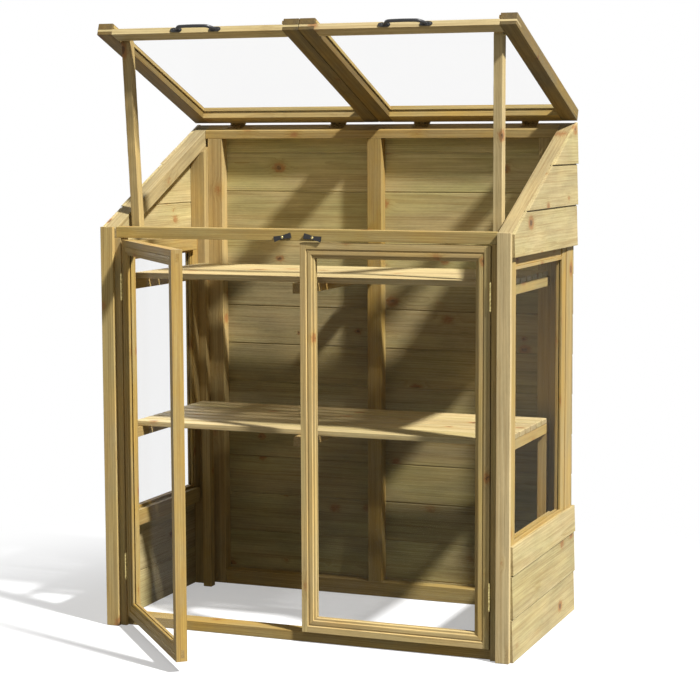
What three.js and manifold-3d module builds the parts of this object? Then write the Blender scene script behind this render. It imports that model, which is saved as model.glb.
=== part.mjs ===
// A wooden mini greenhouse: a timber frame with lapped cladding, two glazed front doors,
// two glazed roof lids held up on props, clear side windows and two slatted shelves.
// Millimetres, +Z up, +Y towards the back. The origin is the middle of the front sill's underside.
import * as THREE from "three";
import { mergeVertices } from "three/addons/utils/BufferGeometryUtils.js";
import Module from "manifold-3d";

const wasm = await Module();
wasm.setup();

// Driving dimensions
const overallWidth = 1200; // over the outer edges of the front boards
const overallDepth = 650; // front boards' face to the back cladding's face
const frontHeight = 1142; // ground to the top of the front boards and the front rail
const roofSlope = THREE.MathUtils.degToRad(25);
const roofStart = 24; // the roof plane passes the front height this far behind the front face
const fitGap = 0.3; // between pieces that touch
const cutOverrun = 1; // how far a cutting or joined solid runs past the face it meets

// Frame members
const boardWidth = 38;
const boardThickness = 14;
const frameInset = 4; // front boards' outer edge to the posts' outer face
const postWidth = 52.5;
const postDepth = 45;
const railSetback = 15;
const railDepth = 45;
const railHeight = 31;
const sillSetback = 28;
const sillDepth = 57;
const sillHeight = 28;
const rafterWidth = 38;
const rafterDepth = 45;
const sidePostWidth = 46;
const sidePostDepth = 66;
const backPostWidth = 47;
const backPostDepth = 38;
const middlePostWidth = 44;
const middlePostOffset = 4; // the middle back post stands this far left of the centre
const backRailHeight = 42; // at the frame's back face
const bottomRailHeight = 45;

// Cladding
const claddingThickness = 12; // at a board's lower edge
const claddingTaper = 2.5; // how much thinner a board is at its upper edge
const boardPitch = 117.5;
const upperCladdingDrop = 65.5; // top of the front to the upper cladding's lower edge
const backTopBoard = 83.3; // how much of the highest back board shows

// Side windows
const windowBottom = 313;
const windowHeadReveal = 26.5; // how much of the window head shows below the cladding
const windowRailHeight = 45;
const windowRailWidth = 38;
const windowStileWidth = 40;
const windowStileThickness = 22;
const paneThickness = 2.5;
const sidePaneInset = 8;

// Shelves
const topShelfDrop = 134; // top of the front to the top shelf
const middleShelfHeight = 583;
const shelfFrontGap = 35.7; // front posts to the first slat
const shelfBackGap = 58; // last slat to the back posts
const slatWidth = 48;
const slatPitch = 57;
const slatThickness = 16;
const bearerWidth = 24;
const bearerHeight = 28;
const bearerBackGap = 38; // side bearers' end to the back posts
const middleBearerWidth = 40;
const middleBearerOffset = 20;
const legWidth = 27;

// Doors
const doorThickness = 30;
const doorSideGap = 3; // hinge edge to post
const doorMeetingGap = 2;
const doorTopGap = 5;
const doorBottomGap = 3;
const leftDoorOpening = THREE.MathUtils.degToRad(48.7);
const flatWidth = 16.6; // flat outer band of a door member
const grooveWidth = 3.4;
const grooveDepth = 3;
const beadWidth = 14;
const beadDepth = 1.5;
const lipWidth = 8;
const lipDepth = 5;
const lipThickness = 7;
const tenonThickness = 10;
const tenonHeight = 22;
const tenonInset = 10; // tenon to the door's top or bottom edge
const tenonDepth = 12; // tenon to the door's front face

// Door hinges
const doorKnuckleRadius = 3;
const doorHingeLength = 75;
const doorHingeInsets = { lower: 143, upper: 132.5 }; // hinge middle to the door's end
const doorLeafThickness = 0.9;
const doorLeafWidth = 29;

// Roof lids
const lidRestAngle = THREE.MathUtils.degToRad(21.2); // above the level
const lidOverhang = 7; // past the front boards' outer edge
const lidMeetingGap = 2;
const lidFrontSetback = 32; // closed lid's front end behind the front face
const lidThickness = 34;
const lidMemberWidth = 45;
const lidFrontRailThickness = 17;
const lidLowerCheek = 9;
const lidTenonThickness = 7;
const lidClearance = 1.45; // closed lid's underside above the roof plane
const lidHingeRise = 4; // hinge axis above the lid's underside
const lidHingeGap = 5; // hinge axis to the lid's rear face
const lidHingeSetback = 3; // hinge axis behind the frame's back face
const lidKnuckleRadius = 4.5;
const lidHingeLength = 50;
const lidLeafWidth = 34;
const lidHeelLength = 3;
const lidHingePlaces = [135, 467]; // from the outer edge of the front boards

// Handles on the lids
const handleLength = 152;
const handleFootLength = 35;
const handleFootHeight = 13;
const handleFootThickness = 2.5;
const handleReach = 28;
const handleRodRadius = 4;
const handleHeight = 8.5; // rod's centre above the lid's underside

// Props
const propWidth = 25;
const propDepth = 30;
const propTopRise = 14; // pivot to the top of the rounded end
const propFootDrop = 22; // top of the front to the prop's foot
const propPivotInset = 67; // lid's front end to the pivot
const propPivotDrop = 2.5; // pivot below the hinge axis, square to the lid
const propSideGap = 1.5; // prop to the rafter's inner face
const propPinRadius = 2.3;
const propLean = THREE.MathUtils.degToRad(3.3);
const propSideLean = THREE.MathUtils.degToRad(1);

// Turn buttons
const buttonLength = 53;
const buttonEndHeight = 16;
const buttonWaistHeight = 10;
const buttonCorner = 3;
const buttonThickness = 5;
const buttonStandoff = 1.3;
const buttonBossRadius = 4.5;
const buttonRise = 9.5; // front rail's underside to the screw
const buttonPlaces = { left: -48, right: 40 };
const buttonTilts = { left: 13, right: -10 };

// Places worked out from the sizes above
const halfWidth = overallWidth / 2;
const frameOuter = halfWidth - frameInset;
const frameFront = boardThickness + fitGap;
const frameBack = overallDepth - claddingThickness;
const postInner = frameOuter - postWidth;
const postBack = frameFront + postDepth;
const railBottom = frontHeight - railHeight;
const rafterInner = frameOuter - rafterWidth;
const rafterDrop = rafterDepth / Math.cos(roofSlope);
const backRailFront = frameBack - backPostDepth;
const roofHeight = (y) => frontHeight + (y - roofStart) * Math.tan(roofSlope);
const backRailBottom = roofHeight(frameBack) - backRailHeight;
const upperCladdingBottom = frontHeight - upperCladdingDrop;
const windowTop = upperCladdingBottom - windowHeadReveal;
const sidePostInner = frameOuter - sidePostWidth;
const lidHingeY = frameBack + lidHingeSetback;
const lidHingeZ = roofHeight(lidHingeY) + (lidClearance + lidHingeRise) / Math.cos(roofSlope);

const looks = {
  timber: new THREE.MeshStandardMaterial({ color: 0xb79c66, roughness: 0.78, metalness: 0 }),
  pane: new THREE.MeshStandardMaterial({
    color: 0xe8f0ea,
    roughness: 0.06,
    metalness: 0,
    transparent: true,
    opacity: 0.3,
  }),
  black: new THREE.MeshStandardMaterial({ color: 0x141414, roughness: 0.4, metalness: 0.3 }),
  zinc: new THREE.MeshStandardMaterial({ color: 0xc2b690, roughness: 0.45, metalness: 0.9 }),
  brass: new THREE.MeshStandardMaterial({ color: 0x8f7a48, roughness: 0.5, metalness: 0.9 }),
};

const axisX = new THREE.Vector3(1, 0, 0);
const axisY = new THREE.Vector3(0, 1, 0);
const axisZ = new THREE.Vector3(0, 0, 1);

// A box between two places on each axis.
function box([x0, x1], [y0, y1], [z0, z1]) {
  const geometry = new THREE.BoxGeometry(x1 - x0, y1 - y0, z1 - z0);
  return geometry.translate((x0 + x1) / 2, (y0 + y1) / 2, (z0 + z1) / 2);
}

// An outline run along one axis. The outline's points are (y, z) along x, (z, x) along y
// and (x, y) along z.
function prism(axis, outline, [from, to]) {
  const shape = new THREE.Shape(outline.map(([a, b]) => new THREE.Vector2(a, b)));
  const geometry = new THREE.ExtrudeGeometry(shape, { depth: to - from, bevelEnabled: false });
  geometry.translate(0, 0, from);
  const turned = { x: [axisY, axisZ, axisX], y: [axisZ, axisX, axisY], z: [axisX, axisY, axisZ] };
  return geometry.applyMatrix4(new THREE.Matrix4().makeBasis(...turned[axis]));
}

// A round rod along X, Y or Z, centred on a point.
function rod(axis, radius, length, [x, y, z], sides = 16) {
  const geometry = new THREE.CylinderGeometry(radius, radius, length, sides);
  if (axis === "x") geometry.rotateZ(Math.PI / 2);
  if (axis === "z") geometry.rotateX(Math.PI / 2);
  return geometry.translate(x, y, z);
}

// A closed geometry as a solid that can be cut and joined.
function solidOf(geometry) {
  const bare = geometry.clone();
  bare.deleteAttribute("normal");
  bare.deleteAttribute("uv");
  const merged = mergeVertices(bare);
  return new wasm.Manifold(
    new wasm.Mesh({
      numProp: 3,
      vertProperties: Float32Array.from(merged.attributes.position.array),
      triVerts: Uint32Array.from(merged.index.array),
    }),
  );
}

// A solid back as a geometry with flat faces.
function geometryOf(solid) {
  const mesh = solid.getMesh();
  const geometry = new THREE.BufferGeometry();
  geometry.setAttribute("position", new THREE.BufferAttribute(mesh.vertProperties, mesh.numProp));
  geometry.setIndex(new THREE.BufferAttribute(mesh.triVerts, 1));
  const flat = geometry.toNonIndexed();
  flat.computeVertexNormals();
  return flat;
}

const join = (...parts) => geometryOf(parts.map(solidOf).reduce((a, b) => a.add(b)));
const cut = (part, ...tools) =>
  geometryOf(tools.map(solidOf).reduce((a, b) => a.subtract(b), solidOf(part)));
const common = (part, other) => geometryOf(solidOf(part).intersect(solidOf(other)));

const greenhouse = new THREE.Group();
greenhouse.name = "mini_greenhouse";
greenhouse.position.y = -(sillSetback + sillDepth / 2);

function place(name, geometry, look, parent = greenhouse) {
  const mesh = new THREE.Mesh(geometry, look.clone());
  mesh.name = name;
  parent.add(mesh);
  return mesh;
}

// A stretch of X between two distances from the centre, on the left (-1) or right (+1).
const across = (side, near, far) => (side > 0 ? [near, far] : [-far, -near]);

// The outline of lapped boards, as (height, thickness) points: each board tapers upwards and
// its lower edge stands out over the board below. Lap heights run upwards.
function lapOutline(laps, top) {
  const points = [[laps[0], fitGap]];
  laps.forEach((lap, i) => {
    points.push([lap, claddingThickness]);
    points.push([laps[i + 1] ?? top, claddingThickness - claddingTaper]);
  });
  points.push([top, fitGap]);
  return points;
}

// Lap heights from a lowest edge upwards.
function lapsFrom(bottom, top) {
  const count = Math.max(1, Math.round((top - bottom) / boardPitch));
  return Array.from({ length: count }, (_, i) => bottom + i * boardPitch);
}

// Front boards, posts, rail and sill
for (const [name, side] of [["left", -1], ["right", 1]]) {
  place(
    `${name}_front_board`,
    box(across(side, halfWidth - boardWidth, halfWidth), [0, boardThickness], [0, frontHeight]),
    looks.timber,
  );
  place(
    `${name}_front_post`,
    box(across(side, postInner, frameOuter), [frameFront, postBack], [0, railBottom - fitGap]),
    looks.timber,
  );
}
const railEnd = rafterInner - fitGap;
const railBack = railSetback + railDepth;
place(
  "front_top_rail",
  box([-railEnd, railEnd], [railSetback, railBack], [railBottom, frontHeight]),
  looks.timber,
);
const sillEnd = postInner - fitGap;
const sillBack = sillSetback + sillDepth;
place("front_sill", box([-sillEnd, sillEnd], [sillSetback, sillBack], [0, sillHeight]), looks.timber);

// Rafters, level where they sit on the front posts, with their top in the roof plane
const rafterSeatEnd = roofStart + (railBottom + rafterDrop - frontHeight) / Math.tan(roofSlope);
const rafterOutline = [
  [frameFront, railBottom],
  [rafterSeatEnd, railBottom],
  [frameBack, roofHeight(frameBack) - rafterDrop],
  [frameBack, roofHeight(frameBack)],
  [frameFront, roofHeight(frameFront)],
];

// Back posts: a side post under the rafter, the back post joined to it, and the window's rear stile
const sidePostFront = frameBack - sidePostDepth;
const backPostInner = sidePostInner - backPostWidth;
const stileFront = sidePostFront + cutOverrun - windowStileWidth;
const postTop = (y) => roofHeight(y) - rafterDrop - fitGap;
const sidePostOutline = [
  [sidePostFront, 0],
  [frameBack, 0],
  [frameBack, postTop(frameBack)],
  [sidePostFront, postTop(sidePostFront)],
];
const windowHeadTop = windowTop + windowRailHeight;
const windowSillBottom = windowBottom - windowRailHeight;
const windowRailRun = [postBack + fitGap, stileFront - fitGap];

// Side cladding, from the front boards to the back face
const claddingRun = [frameFront, overallDepth];
const roofCut = [
  [claddingRun[0], upperCladdingBottom],
  [claddingRun[1], upperCladdingBottom],
  [claddingRun[1], roofHeight(claddingRun[1])],
  [claddingRun[0], roofHeight(claddingRun[0])],
];
const sideLaps = (side, laps, top) =>
  prism(
    "y",
    lapOutline(laps, top).map(([z, out]) => [z, side * (frameOuter + out)]),
    claddingRun,
  );

for (const [name, side] of [["left", -1], ["right", 1]]) {
  place(`${name}_rafter`, prism("x", rafterOutline, across(side, rafterInner, frameOuter)), looks.timber);
  place(
    `${name}_back_post`,
    join(
      prism("x", sidePostOutline, across(side, sidePostInner, frameOuter)),
      box(
        across(side, backPostInner, sidePostInner + cutOverrun),
        [backRailFront, frameBack],
        [0, backRailBottom - fitGap],
      ),
      box(
        across(side, frameOuter - windowStileThickness, frameOuter),
        [stileFront, sidePostFront + cutOverrun],
        [windowSillBottom, windowHeadTop],
      ),
    ),
    looks.timber,
  );
  const railWidth = across(side, frameOuter - windowRailWidth, frameOuter);
  const headRise = [windowTop, windowHeadTop];
  const sillRise = [windowSillBottom, windowBottom];
  place(`${name}_window_head`, box(railWidth, windowRailRun, headRise), looks.timber);
  place(`${name}_window_sill`, box(railWidth, windowRailRun, sillRise), looks.timber);
  const paneOuter = frameOuter - sidePaneInset;
  place(
    `${name}_side_pane`,
    box(
      across(side, paneOuter - paneThickness, paneOuter),
      windowRailRun,
      [windowBottom + fitGap, windowTop - fitGap],
    ),
    looks.pane,
  );
  const upperTop = roofHeight(claddingRun[1]);
  const upperLaps = sideLaps(side, lapsFrom(upperCladdingBottom, upperTop), upperTop);
  const slopeCut = prism("x", roofCut, across(side, frameOuter, frameOuter + 2 * claddingThickness));
  place(`${name}_upper_cladding`, common(upperLaps, slopeCut), looks.timber);
  place(
    `${name}_lower_cladding`,
    sideLaps(side, lapsFrom(0, windowBottom), windowBottom),
    looks.timber,
  );
}

// Middle back post, back rails and back cladding
const middlePostSpan = [-middlePostOffset - middlePostWidth / 2, -middlePostOffset + middlePostWidth / 2];
place(
  "middle_back_post",
  box(middlePostSpan, [backRailFront, frameBack], [bottomRailHeight + fitGap, backRailBottom - fitGap]),
  looks.timber,
);
place(
  "back_bottom_rail",
  box([fitGap - backPostInner, backPostInner - fitGap], [backRailFront, frameBack], [0, bottomRailHeight]),
  looks.timber,
);
place(
  "back_top_rail",
  prism(
    "x",
    [
      [backRailFront, backRailBottom],
      [frameBack, backRailBottom],
      [frameBack, roofHeight(frameBack)],
      [backRailFront, roofHeight(backRailFront)],
    ],
    [-railEnd, railEnd],
  ),
  looks.timber,
);
const backTop = roofHeight(frameBack);
const backLaps = [];
for (let lap = backTop - backTopBoard; lap > 0; lap -= boardPitch) backLaps.unshift(lap);
backLaps.unshift(0);
place(
  "back_cladding",
  prism(
    "x",
    lapOutline(backLaps, backTop).map(([z, out]) => [frameBack + out, z]),
    [-frameOuter, frameOuter],
  ),
  looks.timber,
);

// Slatted shelves on bearers
function shelf(top, legs) {
  const shelfEnd = sidePostInner;
  const shelfFront = postBack + shelfFrontGap;
  const slatRun = backRailFront - shelfBackGap - slatWidth - shelfFront;
  const gaps = Math.max(1, Math.round(slatRun / slatPitch));
  const bearerBack = backRailFront - bearerBackGap;
  const slatBottom = top - slatThickness;
  const bearerTop = slatBottom + cutOverrun;
  const bearerBottom = slatBottom - bearerHeight;
  const bearerFront = postBack + fitGap;
  const parts = [];
  for (let i = 0; i <= gaps; i += 1) {
    const front = shelfFront + (i * slatRun) / gaps;
    parts.push(box([-shelfEnd, shelfEnd], [front, front + slatWidth], [slatBottom, top]));
  }
  parts.push(
    box(
      [-middleBearerOffset - middleBearerWidth / 2, -middleBearerOffset + middleBearerWidth / 2],
      [bearerFront, backRailFront - fitGap],
      [bearerBottom, bearerTop],
    ),
  );
  for (const side of [-1, 1]) {
    const bearerSpan = across(side, shelfEnd - bearerWidth, shelfEnd);
    parts.push(box(bearerSpan, [bearerFront, bearerBack], [bearerBottom, bearerTop]));
    if (legs) {
      parts.push(
        box(
          across(side, shelfEnd - legWidth, shelfEnd),
          [bearerBack - legWidth, bearerBack],
          [0, bearerBottom + cutOverrun],
        ),
      );
    }
  }
  return join(...parts);
}
place("top_shelf", shelf(frontHeight - topShelfDrop, false), looks.timber);
place("middle_shelf", shelf(middleShelfHeight, true), looks.timber);

// Doors. In a door's own frame the hinge axis is the origin, x runs from the hinge edge to the
// closing edge and y from the front face backwards.
const doorHingeY = boardThickness - doorKnuckleRadius - fitGap;
const doorEdge = doorSideGap / 2;
const doorHingeX = postInner - doorEdge;
const doorWidth = doorHingeX - doorEdge - doorMeetingGap / 2;
const doorBottom = sillHeight + doorBottomGap;
const doorTop = railBottom - doorTopGap;
const doorFront = boardThickness - doorHingeY;
const doorBack = doorFront + doorThickness;
const grooveInset = flatWidth + grooveWidth;
const beadInset = grooveInset + beadWidth;
const memberWidth = beadInset + lipWidth;
const lipBack = doorFront + lipDepth + lipThickness;
const rearBeadFront = lipBack + paneThickness + 2 * fitGap;
// Bands of a member beyond its flat: from and to an inset from the door's outer edge, and the
// front and back of the band.
const doorBands = [
  [flatWidth, grooveInset, doorFront + grooveDepth, doorBack],
  [grooveInset, beadInset, doorFront + beadDepth, doorBack],
  [beadInset, memberWidth, doorFront + lipDepth, lipBack],
  [beadInset, memberWidth, rearBeadFront, doorBack - lipDepth],
];
const mitreGap = fitGap / 2;

// One door member seen from the front: length along "run", inset from the outer edge along "rise".
// Its moulded bands end in mitres; its flat ends square, through to the end or between the stiles.
function doorMember(runLength, flatEnd, toPlace) {
  const parts = [
    toPlace(
      [
        [flatEnd, 0],
        [runLength - flatEnd, 0],
        [runLength - flatEnd, flatWidth],
        [flatEnd, flatWidth],
      ],
      [doorFront, doorBack],
    ),
  ];
  for (const [from, to, front, back] of doorBands) {
    const start = from - cutOverrun;
    parts.push(
      toPlace(
        [
          [from + mitreGap, start],
          [runLength - from - mitreGap, start],
          [runLength - from - mitreGap, from],
          [runLength - to - mitreGap, to],
          [to + mitreGap, to],
          [from + mitreGap, from],
        ],
        [front, back],
      ),
    );
  }
  return parts;
}

function tenonRun(edge, towardsMiddle) {
  const near = edge + towardsMiddle * tenonInset;
  const far = near + towardsMiddle * tenonHeight;
  return [Math.min(near, far), Math.max(near, far)];
}

const grow = ([a, b], by) => [a - by, b + by];
const doorHeight = doorTop - doorBottom;

for (const [name, side] of [["left", -1], ["right", 1]]) {
  const door = new THREE.Group();
  door.position.set(side * doorHingeX, doorHingeY, 0);
  door.rotation.z = name === "left" ? -leftDoorOpening : 0;
  greenhouse.add(door);
  const toX = (x) => -side * x;
  const span = (x0, x1) => [Math.min(toX(x0), toX(x1)), Math.max(toX(x0), toX(x1))];
  const hingeEdge = doorEdge;
  const closingEdge = doorEdge + doorWidth;
  const tenonSpan = [doorFront + tenonDepth, doorFront + tenonDepth + tenonThickness];
  const tenons = [tenonRun(doorTop, -1), tenonRun(doorBottom, 1)];

  const stile = (edge, inwards) =>
    cut(
      join(
        ...doorMember(doorHeight, 0, (outline, depth) =>
          prism("y", outline.map(([run, rise]) => [doorBottom + run, toX(edge + inwards * rise)]), depth),
        ),
      ),
      ...tenons.map((height) =>
        box(
          span(edge - inwards * cutOverrun, edge + inwards * (memberWidth + cutOverrun)),
          grow(tenonSpan, fitGap),
          grow(height, fitGap),
        ),
      ),
    );
  place(`${name}_door_hinge_stile`, stile(hingeEdge, 1), looks.timber, door);
  place(`${name}_door_closing_stile`, stile(closingEdge, -1), looks.timber, door);

  const rail = (edge, inwards, height) =>
    join(
      ...doorMember(doorWidth, flatWidth + fitGap, (outline, depth) =>
        prism("y", outline.map(([run, rise]) => [edge + inwards * rise, toX(hingeEdge + run)]), depth),
      ),
      box(span(hingeEdge, hingeEdge + memberWidth + tenonInset), tenonSpan, height),
      box(span(closingEdge - memberWidth - tenonInset, closingEdge), tenonSpan, height),
    );
  place(`${name}_door_top_rail`, rail(doorTop, -1, tenons[0]), looks.timber, door);
  place(`${name}_door_bottom_rail`, rail(doorBottom, 1, tenons[1]), looks.timber, door);

  const paneEdge = beadInset + fitGap;
  place(
    `${name}_door_pane`,
    box(
      span(hingeEdge + paneEdge, closingEdge - paneEdge),
      [lipBack + fitGap, lipBack + fitGap + paneThickness],
      [doorBottom + paneEdge, doorTop - paneEdge],
    ),
    looks.pane,
    door,
  );

  // The fixed leaf of each hinge lies on the post, and the knuckle stands in front of the gap.
  const hingeHeights = {
    lower: doorBottom + doorHingeInsets.lower,
    upper: doorTop - doorHingeInsets.upper,
  };
  for (const [where, height] of Object.entries(hingeHeights)) {
    const ends = [height - doorHingeLength / 2, height + doorHingeLength / 2];
    const leafFar = postInner - fitGap;
    place(
      `${name}_door_hinge_${where}`,
      join(
        rod("z", doorKnuckleRadius, doorHingeLength, [side * doorHingeX, doorHingeY, height]),
        box(
          across(side, leafFar - doorLeafThickness, leafFar),
          [doorHingeY, doorHingeY + doorLeafWidth],
          ends,
        ),
      ),
      looks.zinc,
    );
  }
}

// Roof lids. In a lid's own frame the hinge axis is the origin, the lid runs towards -y and z is
// square to it. Each corner is a bridle joint: the rail's tenon lies in the stile's open slot.
const lidUnder = -lidHingeRise;
const lidTop = lidUnder + lidThickness;
const lidRear = lidHingeGap;
const lidFront = (lidHingeY - lidFrontSetback) / Math.cos(roofSlope);
const slotBottom = lidUnder + lidLowerCheek;
const slotTop = slotBottom + lidTenonThickness;
const lidRailTop = lidUnder + lidFrontRailThickness;
const frontSlot = lidFront - lidMemberWidth;
const rearSlot = lidRear + lidMemberWidth;
const lidStileOutline = [
  [-lidRear, lidUnder],
  [-lidRear, slotBottom],
  [-rearSlot, slotBottom],
  [-rearSlot, slotTop],
  [-lidRear, slotTop],
  [-lidRear, lidTop],
  [-lidFront, lidTop],
  [-lidFront, slotTop],
  [-frontSlot, slotTop],
  [-frontSlot, slotBottom],
  [-lidFront, slotBottom],
  [-lidFront, lidUnder],
];
const lidNear = lidMeetingGap / 2;
const lidFar = halfWidth + lidOverhang;
const lidInner = [lidNear + lidMemberWidth + fitGap, lidFar - lidMemberWidth - fitGap];

// A lid rail seen along the slope, as (x, z) points: a bar between the stiles with a tenon at each end.
const lidRailOutline = (side, top) =>
  [
    [lidInner[0], lidUnder],
    [lidInner[1], lidUnder],
    [lidInner[1], slotBottom + fitGap],
    [lidFar, slotBottom + fitGap],
    [lidFar, slotTop - fitGap],
    [lidInner[1], slotTop - fitGap],
    [lidInner[1], top],
    [lidInner[0], top],
    [lidInner[0], slotTop - fitGap],
    [lidNear, slotTop - fitGap],
    [lidNear, slotBottom + fitGap],
    [lidInner[0], slotBottom + fitGap],
  ].map(([x, z]) => [z, side * x]);

// A bow handle: a bent rod between two flat feet, standing off the lid's front face.
function bowHandle(middle) {
  const rodHeight = lidUnder + handleHeight;
  const footFace = -(lidFront + fitGap);
  const footSpan = (end) => [
    middle + (end < 0 ? -handleLength / 2 : handleLength / 2 - handleFootLength),
    middle + (end < 0 ? handleFootLength - handleLength / 2 : handleLength / 2),
  ];
  const bendInset = handleFootLength / 2;
  const rise = handleReach - handleRodRadius;
  const bend = (side) => [
    [side * (handleLength / 2 - bendInset), handleFootThickness / 2],
    [side * (handleLength / 2 - bendInset - handleRodRadius), rise / 2],
    [side * (handleLength / 2 - bendInset - 2 * handleRodRadius), rise - handleRodRadius],
    [side * (handleLength / 2 - bendInset - 5 * handleRodRadius), rise],
  ];
  const route = [...bend(-1), [0, rise], ...bend(1).reverse()].map(
    ([x, out]) => new THREE.Vector3(middle + x, footFace - out, rodHeight),
  );
  const section = new THREE.Shape();
  section.absarc(0, 0, handleRodRadius, 0, 2 * Math.PI);
  const bow = new THREE.ExtrudeGeometry(section, {
    steps: 24,
    curveSegments: 5,
    bevelEnabled: false,
    extrudePath: new THREE.CatmullRomCurve3(route),
  });
  const footRise = [rodHeight - handleFootHeight / 2, rodHeight + handleFootHeight / 2];
  const footDepth = [footFace - handleFootThickness, footFace];
  const feet = [-1, 1].map((end) => box(footSpan(end), footDepth, footRise));
  // The rod's ends are trimmed back to the feet's seats.
  const behind = box(
    [middle - handleLength, middle + handleLength],
    [footFace, footFace + handleReach],
    grow(footRise, handleReach),
  );
  return cut(join(bow, ...feet), behind);
}

// The prop hangs from its pivot on the lid, at rest, to its foot behind the front rail.
const lidHinge = new THREE.Vector3(0, lidHingeY, lidHingeZ);
const propPivot = new THREE.Vector3(0, propPivotInset - lidFront, -propPivotDrop)
  .applyAxisAngle(axisX, -lidRestAngle)
  .add(lidHinge);
const propLength = (propPivot.z - frontHeight + propFootDrop) / Math.cos(propLean);

// The prop's outline beside its pivot: round above it, square at the foot.
const propArc = Array.from({ length: 9 }, (_, i) => {
  const angle = (Math.PI * i) / 8;
  return [(propDepth / 2) * Math.cos(angle), propTopRise * Math.sin(angle)];
});
const propOutline = [...propArc, [-propDepth / 2, -propLength], [propDepth / 2, -propLength]];

for (const [name, side] of [["left", -1], ["right", 1]]) {
  const lid = new THREE.Group();
  lid.position.copy(lidHinge);
  lid.rotation.x = -lidRestAngle;
  greenhouse.add(lid);
  const outerStile = prism("x", lidStileOutline, across(side, lidFar - lidMemberWidth, lidFar));
  const innerStile = prism("x", lidStileOutline, across(side, lidNear, lidNear + lidMemberWidth));
  place(`${name}_lid_outer_stile`, outerStile, looks.timber, lid);
  place(`${name}_lid_inner_stile`, innerStile, looks.timber, lid);
  place(
    `${name}_lid_front_rail`,
    prism("y", lidRailOutline(side, lidRailTop), [-lidFront, -frontSlot - fitGap]),
    looks.timber,
    lid,
  );
  place(
    `${name}_lid_rear_rail`,
    prism("y", lidRailOutline(side, lidTop), [fitGap - rearSlot, -lidRear]),
    looks.timber,
    lid,
  );
  const paneBottom = lidRailTop + fitGap;
  place(
    `${name}_lid_pane`,
    box(
      across(side, lidInner[0], lidInner[1]),
      [-lidFront, -rearSlot - fitGap],
      [paneBottom, paneBottom + paneThickness],
    ),
    looks.pane,
    lid,
  );
  place(`${name}_lid_handle`, bowHandle((side * (lidNear + lidFar)) / 2), looks.black, lid);

  // The prop turns on a pin in the outer stile's inner face.
  const prop = new THREE.Group();
  prop.position.copy(propPivot);
  prop.rotation.x = propLean;
  greenhouse.add(prop);
  const propOuter = rafterInner - propSideGap;
  const stick = prism("x", propOutline, across(side, -propWidth, 0)).rotateY(side * propSideLean);
  stick.translate(side * propOuter, 0, 0);
  const pinSpan = across(side, propOuter - propWidth / 2, lidFar - lidMemberWidth - fitGap);
  const pin = rod("x", propPinRadius, pinSpan[1] - pinSpan[0], [(pinSpan[0] + pinSpan[1]) / 2, 0, 0], 12);
  place(`${name}_prop`, join(stick, pin), looks.timber, prop);

  // The fixed leaf of each lid hinge lies on the back rail's bevel under the lid.
  lidHingePlaces.forEach((from, i) => {
    const hinge = new THREE.Group();
    hinge.position.set(side * (halfWidth - from), lidHingeY, lidHingeZ);
    hinge.rotation.x = roofSlope;
    greenhouse.add(hinge);
    const leafBottom = -lidHingeRise - lidClearance + fitGap;
    const leafTop = -lidHingeRise - fitGap;
    const leafRun = [-lidHingeLength / 2, lidHingeLength / 2];
    place(
      `${name}_lid_hinge_${["outer", "inner"][i]}`,
      join(
        rod("x", lidKnuckleRadius, lidHingeLength, [0, 0, 0]),
        box(leafRun, [-lidLeafWidth, 0], [leafBottom, leafTop]),
        box(leafRun, [-lidHeelLength, lidHeelLength], [leafBottom, 0]),
      ),
      looks.brass,
      hinge,
    );
  });

  // The turn button turns on its screw in the front rail's face.
  const button = new THREE.Group();
  const buttonFace = railSetback - buttonStandoff;
  button.position.set(buttonPlaces[name], buttonFace, railBottom + buttonRise);
  button.rotation.y = -THREE.MathUtils.degToRad(buttonTilts[name]);
  greenhouse.add(button);
  const endX = buttonLength / 2;
  const endZ = buttonEndHeight / 2;
  const quarter = [
    [0, buttonWaistHeight / 2],
    [endX - buttonCorner, endZ],
    [endX - buttonCorner / 4, endZ - buttonCorner / 4],
    [endX, endZ - buttonCorner],
  ];
  const upperHalf = [...quarter.slice(1).reverse(), ...quarter.map(([x, z]) => [-x, z])];
  const bowTie = [...upperHalf, ...upperHalf.map(([x, z]) => [-x, -z])];
  place(
    `${name}_turn_button`,
    join(
      prism("y", bowTie.map(([x, z]) => [z, x]), [-buttonThickness, 0]),
      rod("y", buttonBossRadius, buttonThickness + buttonStandoff - fitGap, [
        0,
        (buttonStandoff - fitGap - buttonThickness) / 2,
        0,
      ]),
    ),
    looks.black,
    button,
  );
}

export default greenhouse;
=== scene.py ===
"""The finished look of a wooden mini greenhouse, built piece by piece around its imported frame.

Sizes are in millimetres: X to the right of the middle, Y backwards from the front boards' face and
Z up from the ground. Every mesh is written in metres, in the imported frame.
"""
import logging
import math
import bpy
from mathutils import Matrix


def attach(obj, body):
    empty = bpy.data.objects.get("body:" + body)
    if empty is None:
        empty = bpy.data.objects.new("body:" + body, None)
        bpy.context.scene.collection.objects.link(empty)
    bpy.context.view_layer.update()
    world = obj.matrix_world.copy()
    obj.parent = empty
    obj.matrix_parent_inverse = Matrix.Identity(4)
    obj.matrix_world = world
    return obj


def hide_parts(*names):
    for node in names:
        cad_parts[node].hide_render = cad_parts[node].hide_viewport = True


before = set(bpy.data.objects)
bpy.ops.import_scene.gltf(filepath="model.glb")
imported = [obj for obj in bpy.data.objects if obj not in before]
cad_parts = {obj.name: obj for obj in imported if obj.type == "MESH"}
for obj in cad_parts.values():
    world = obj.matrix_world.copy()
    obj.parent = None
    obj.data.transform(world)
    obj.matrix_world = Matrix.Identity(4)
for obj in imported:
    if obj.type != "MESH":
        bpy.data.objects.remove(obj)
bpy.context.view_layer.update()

import zlib
from dataclasses import dataclass
from enum import Enum
from functools import partial
from typing import Optional, Sequence, Union

import bpy
import numpy as np
from mathutils import Matrix, Vector

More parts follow.
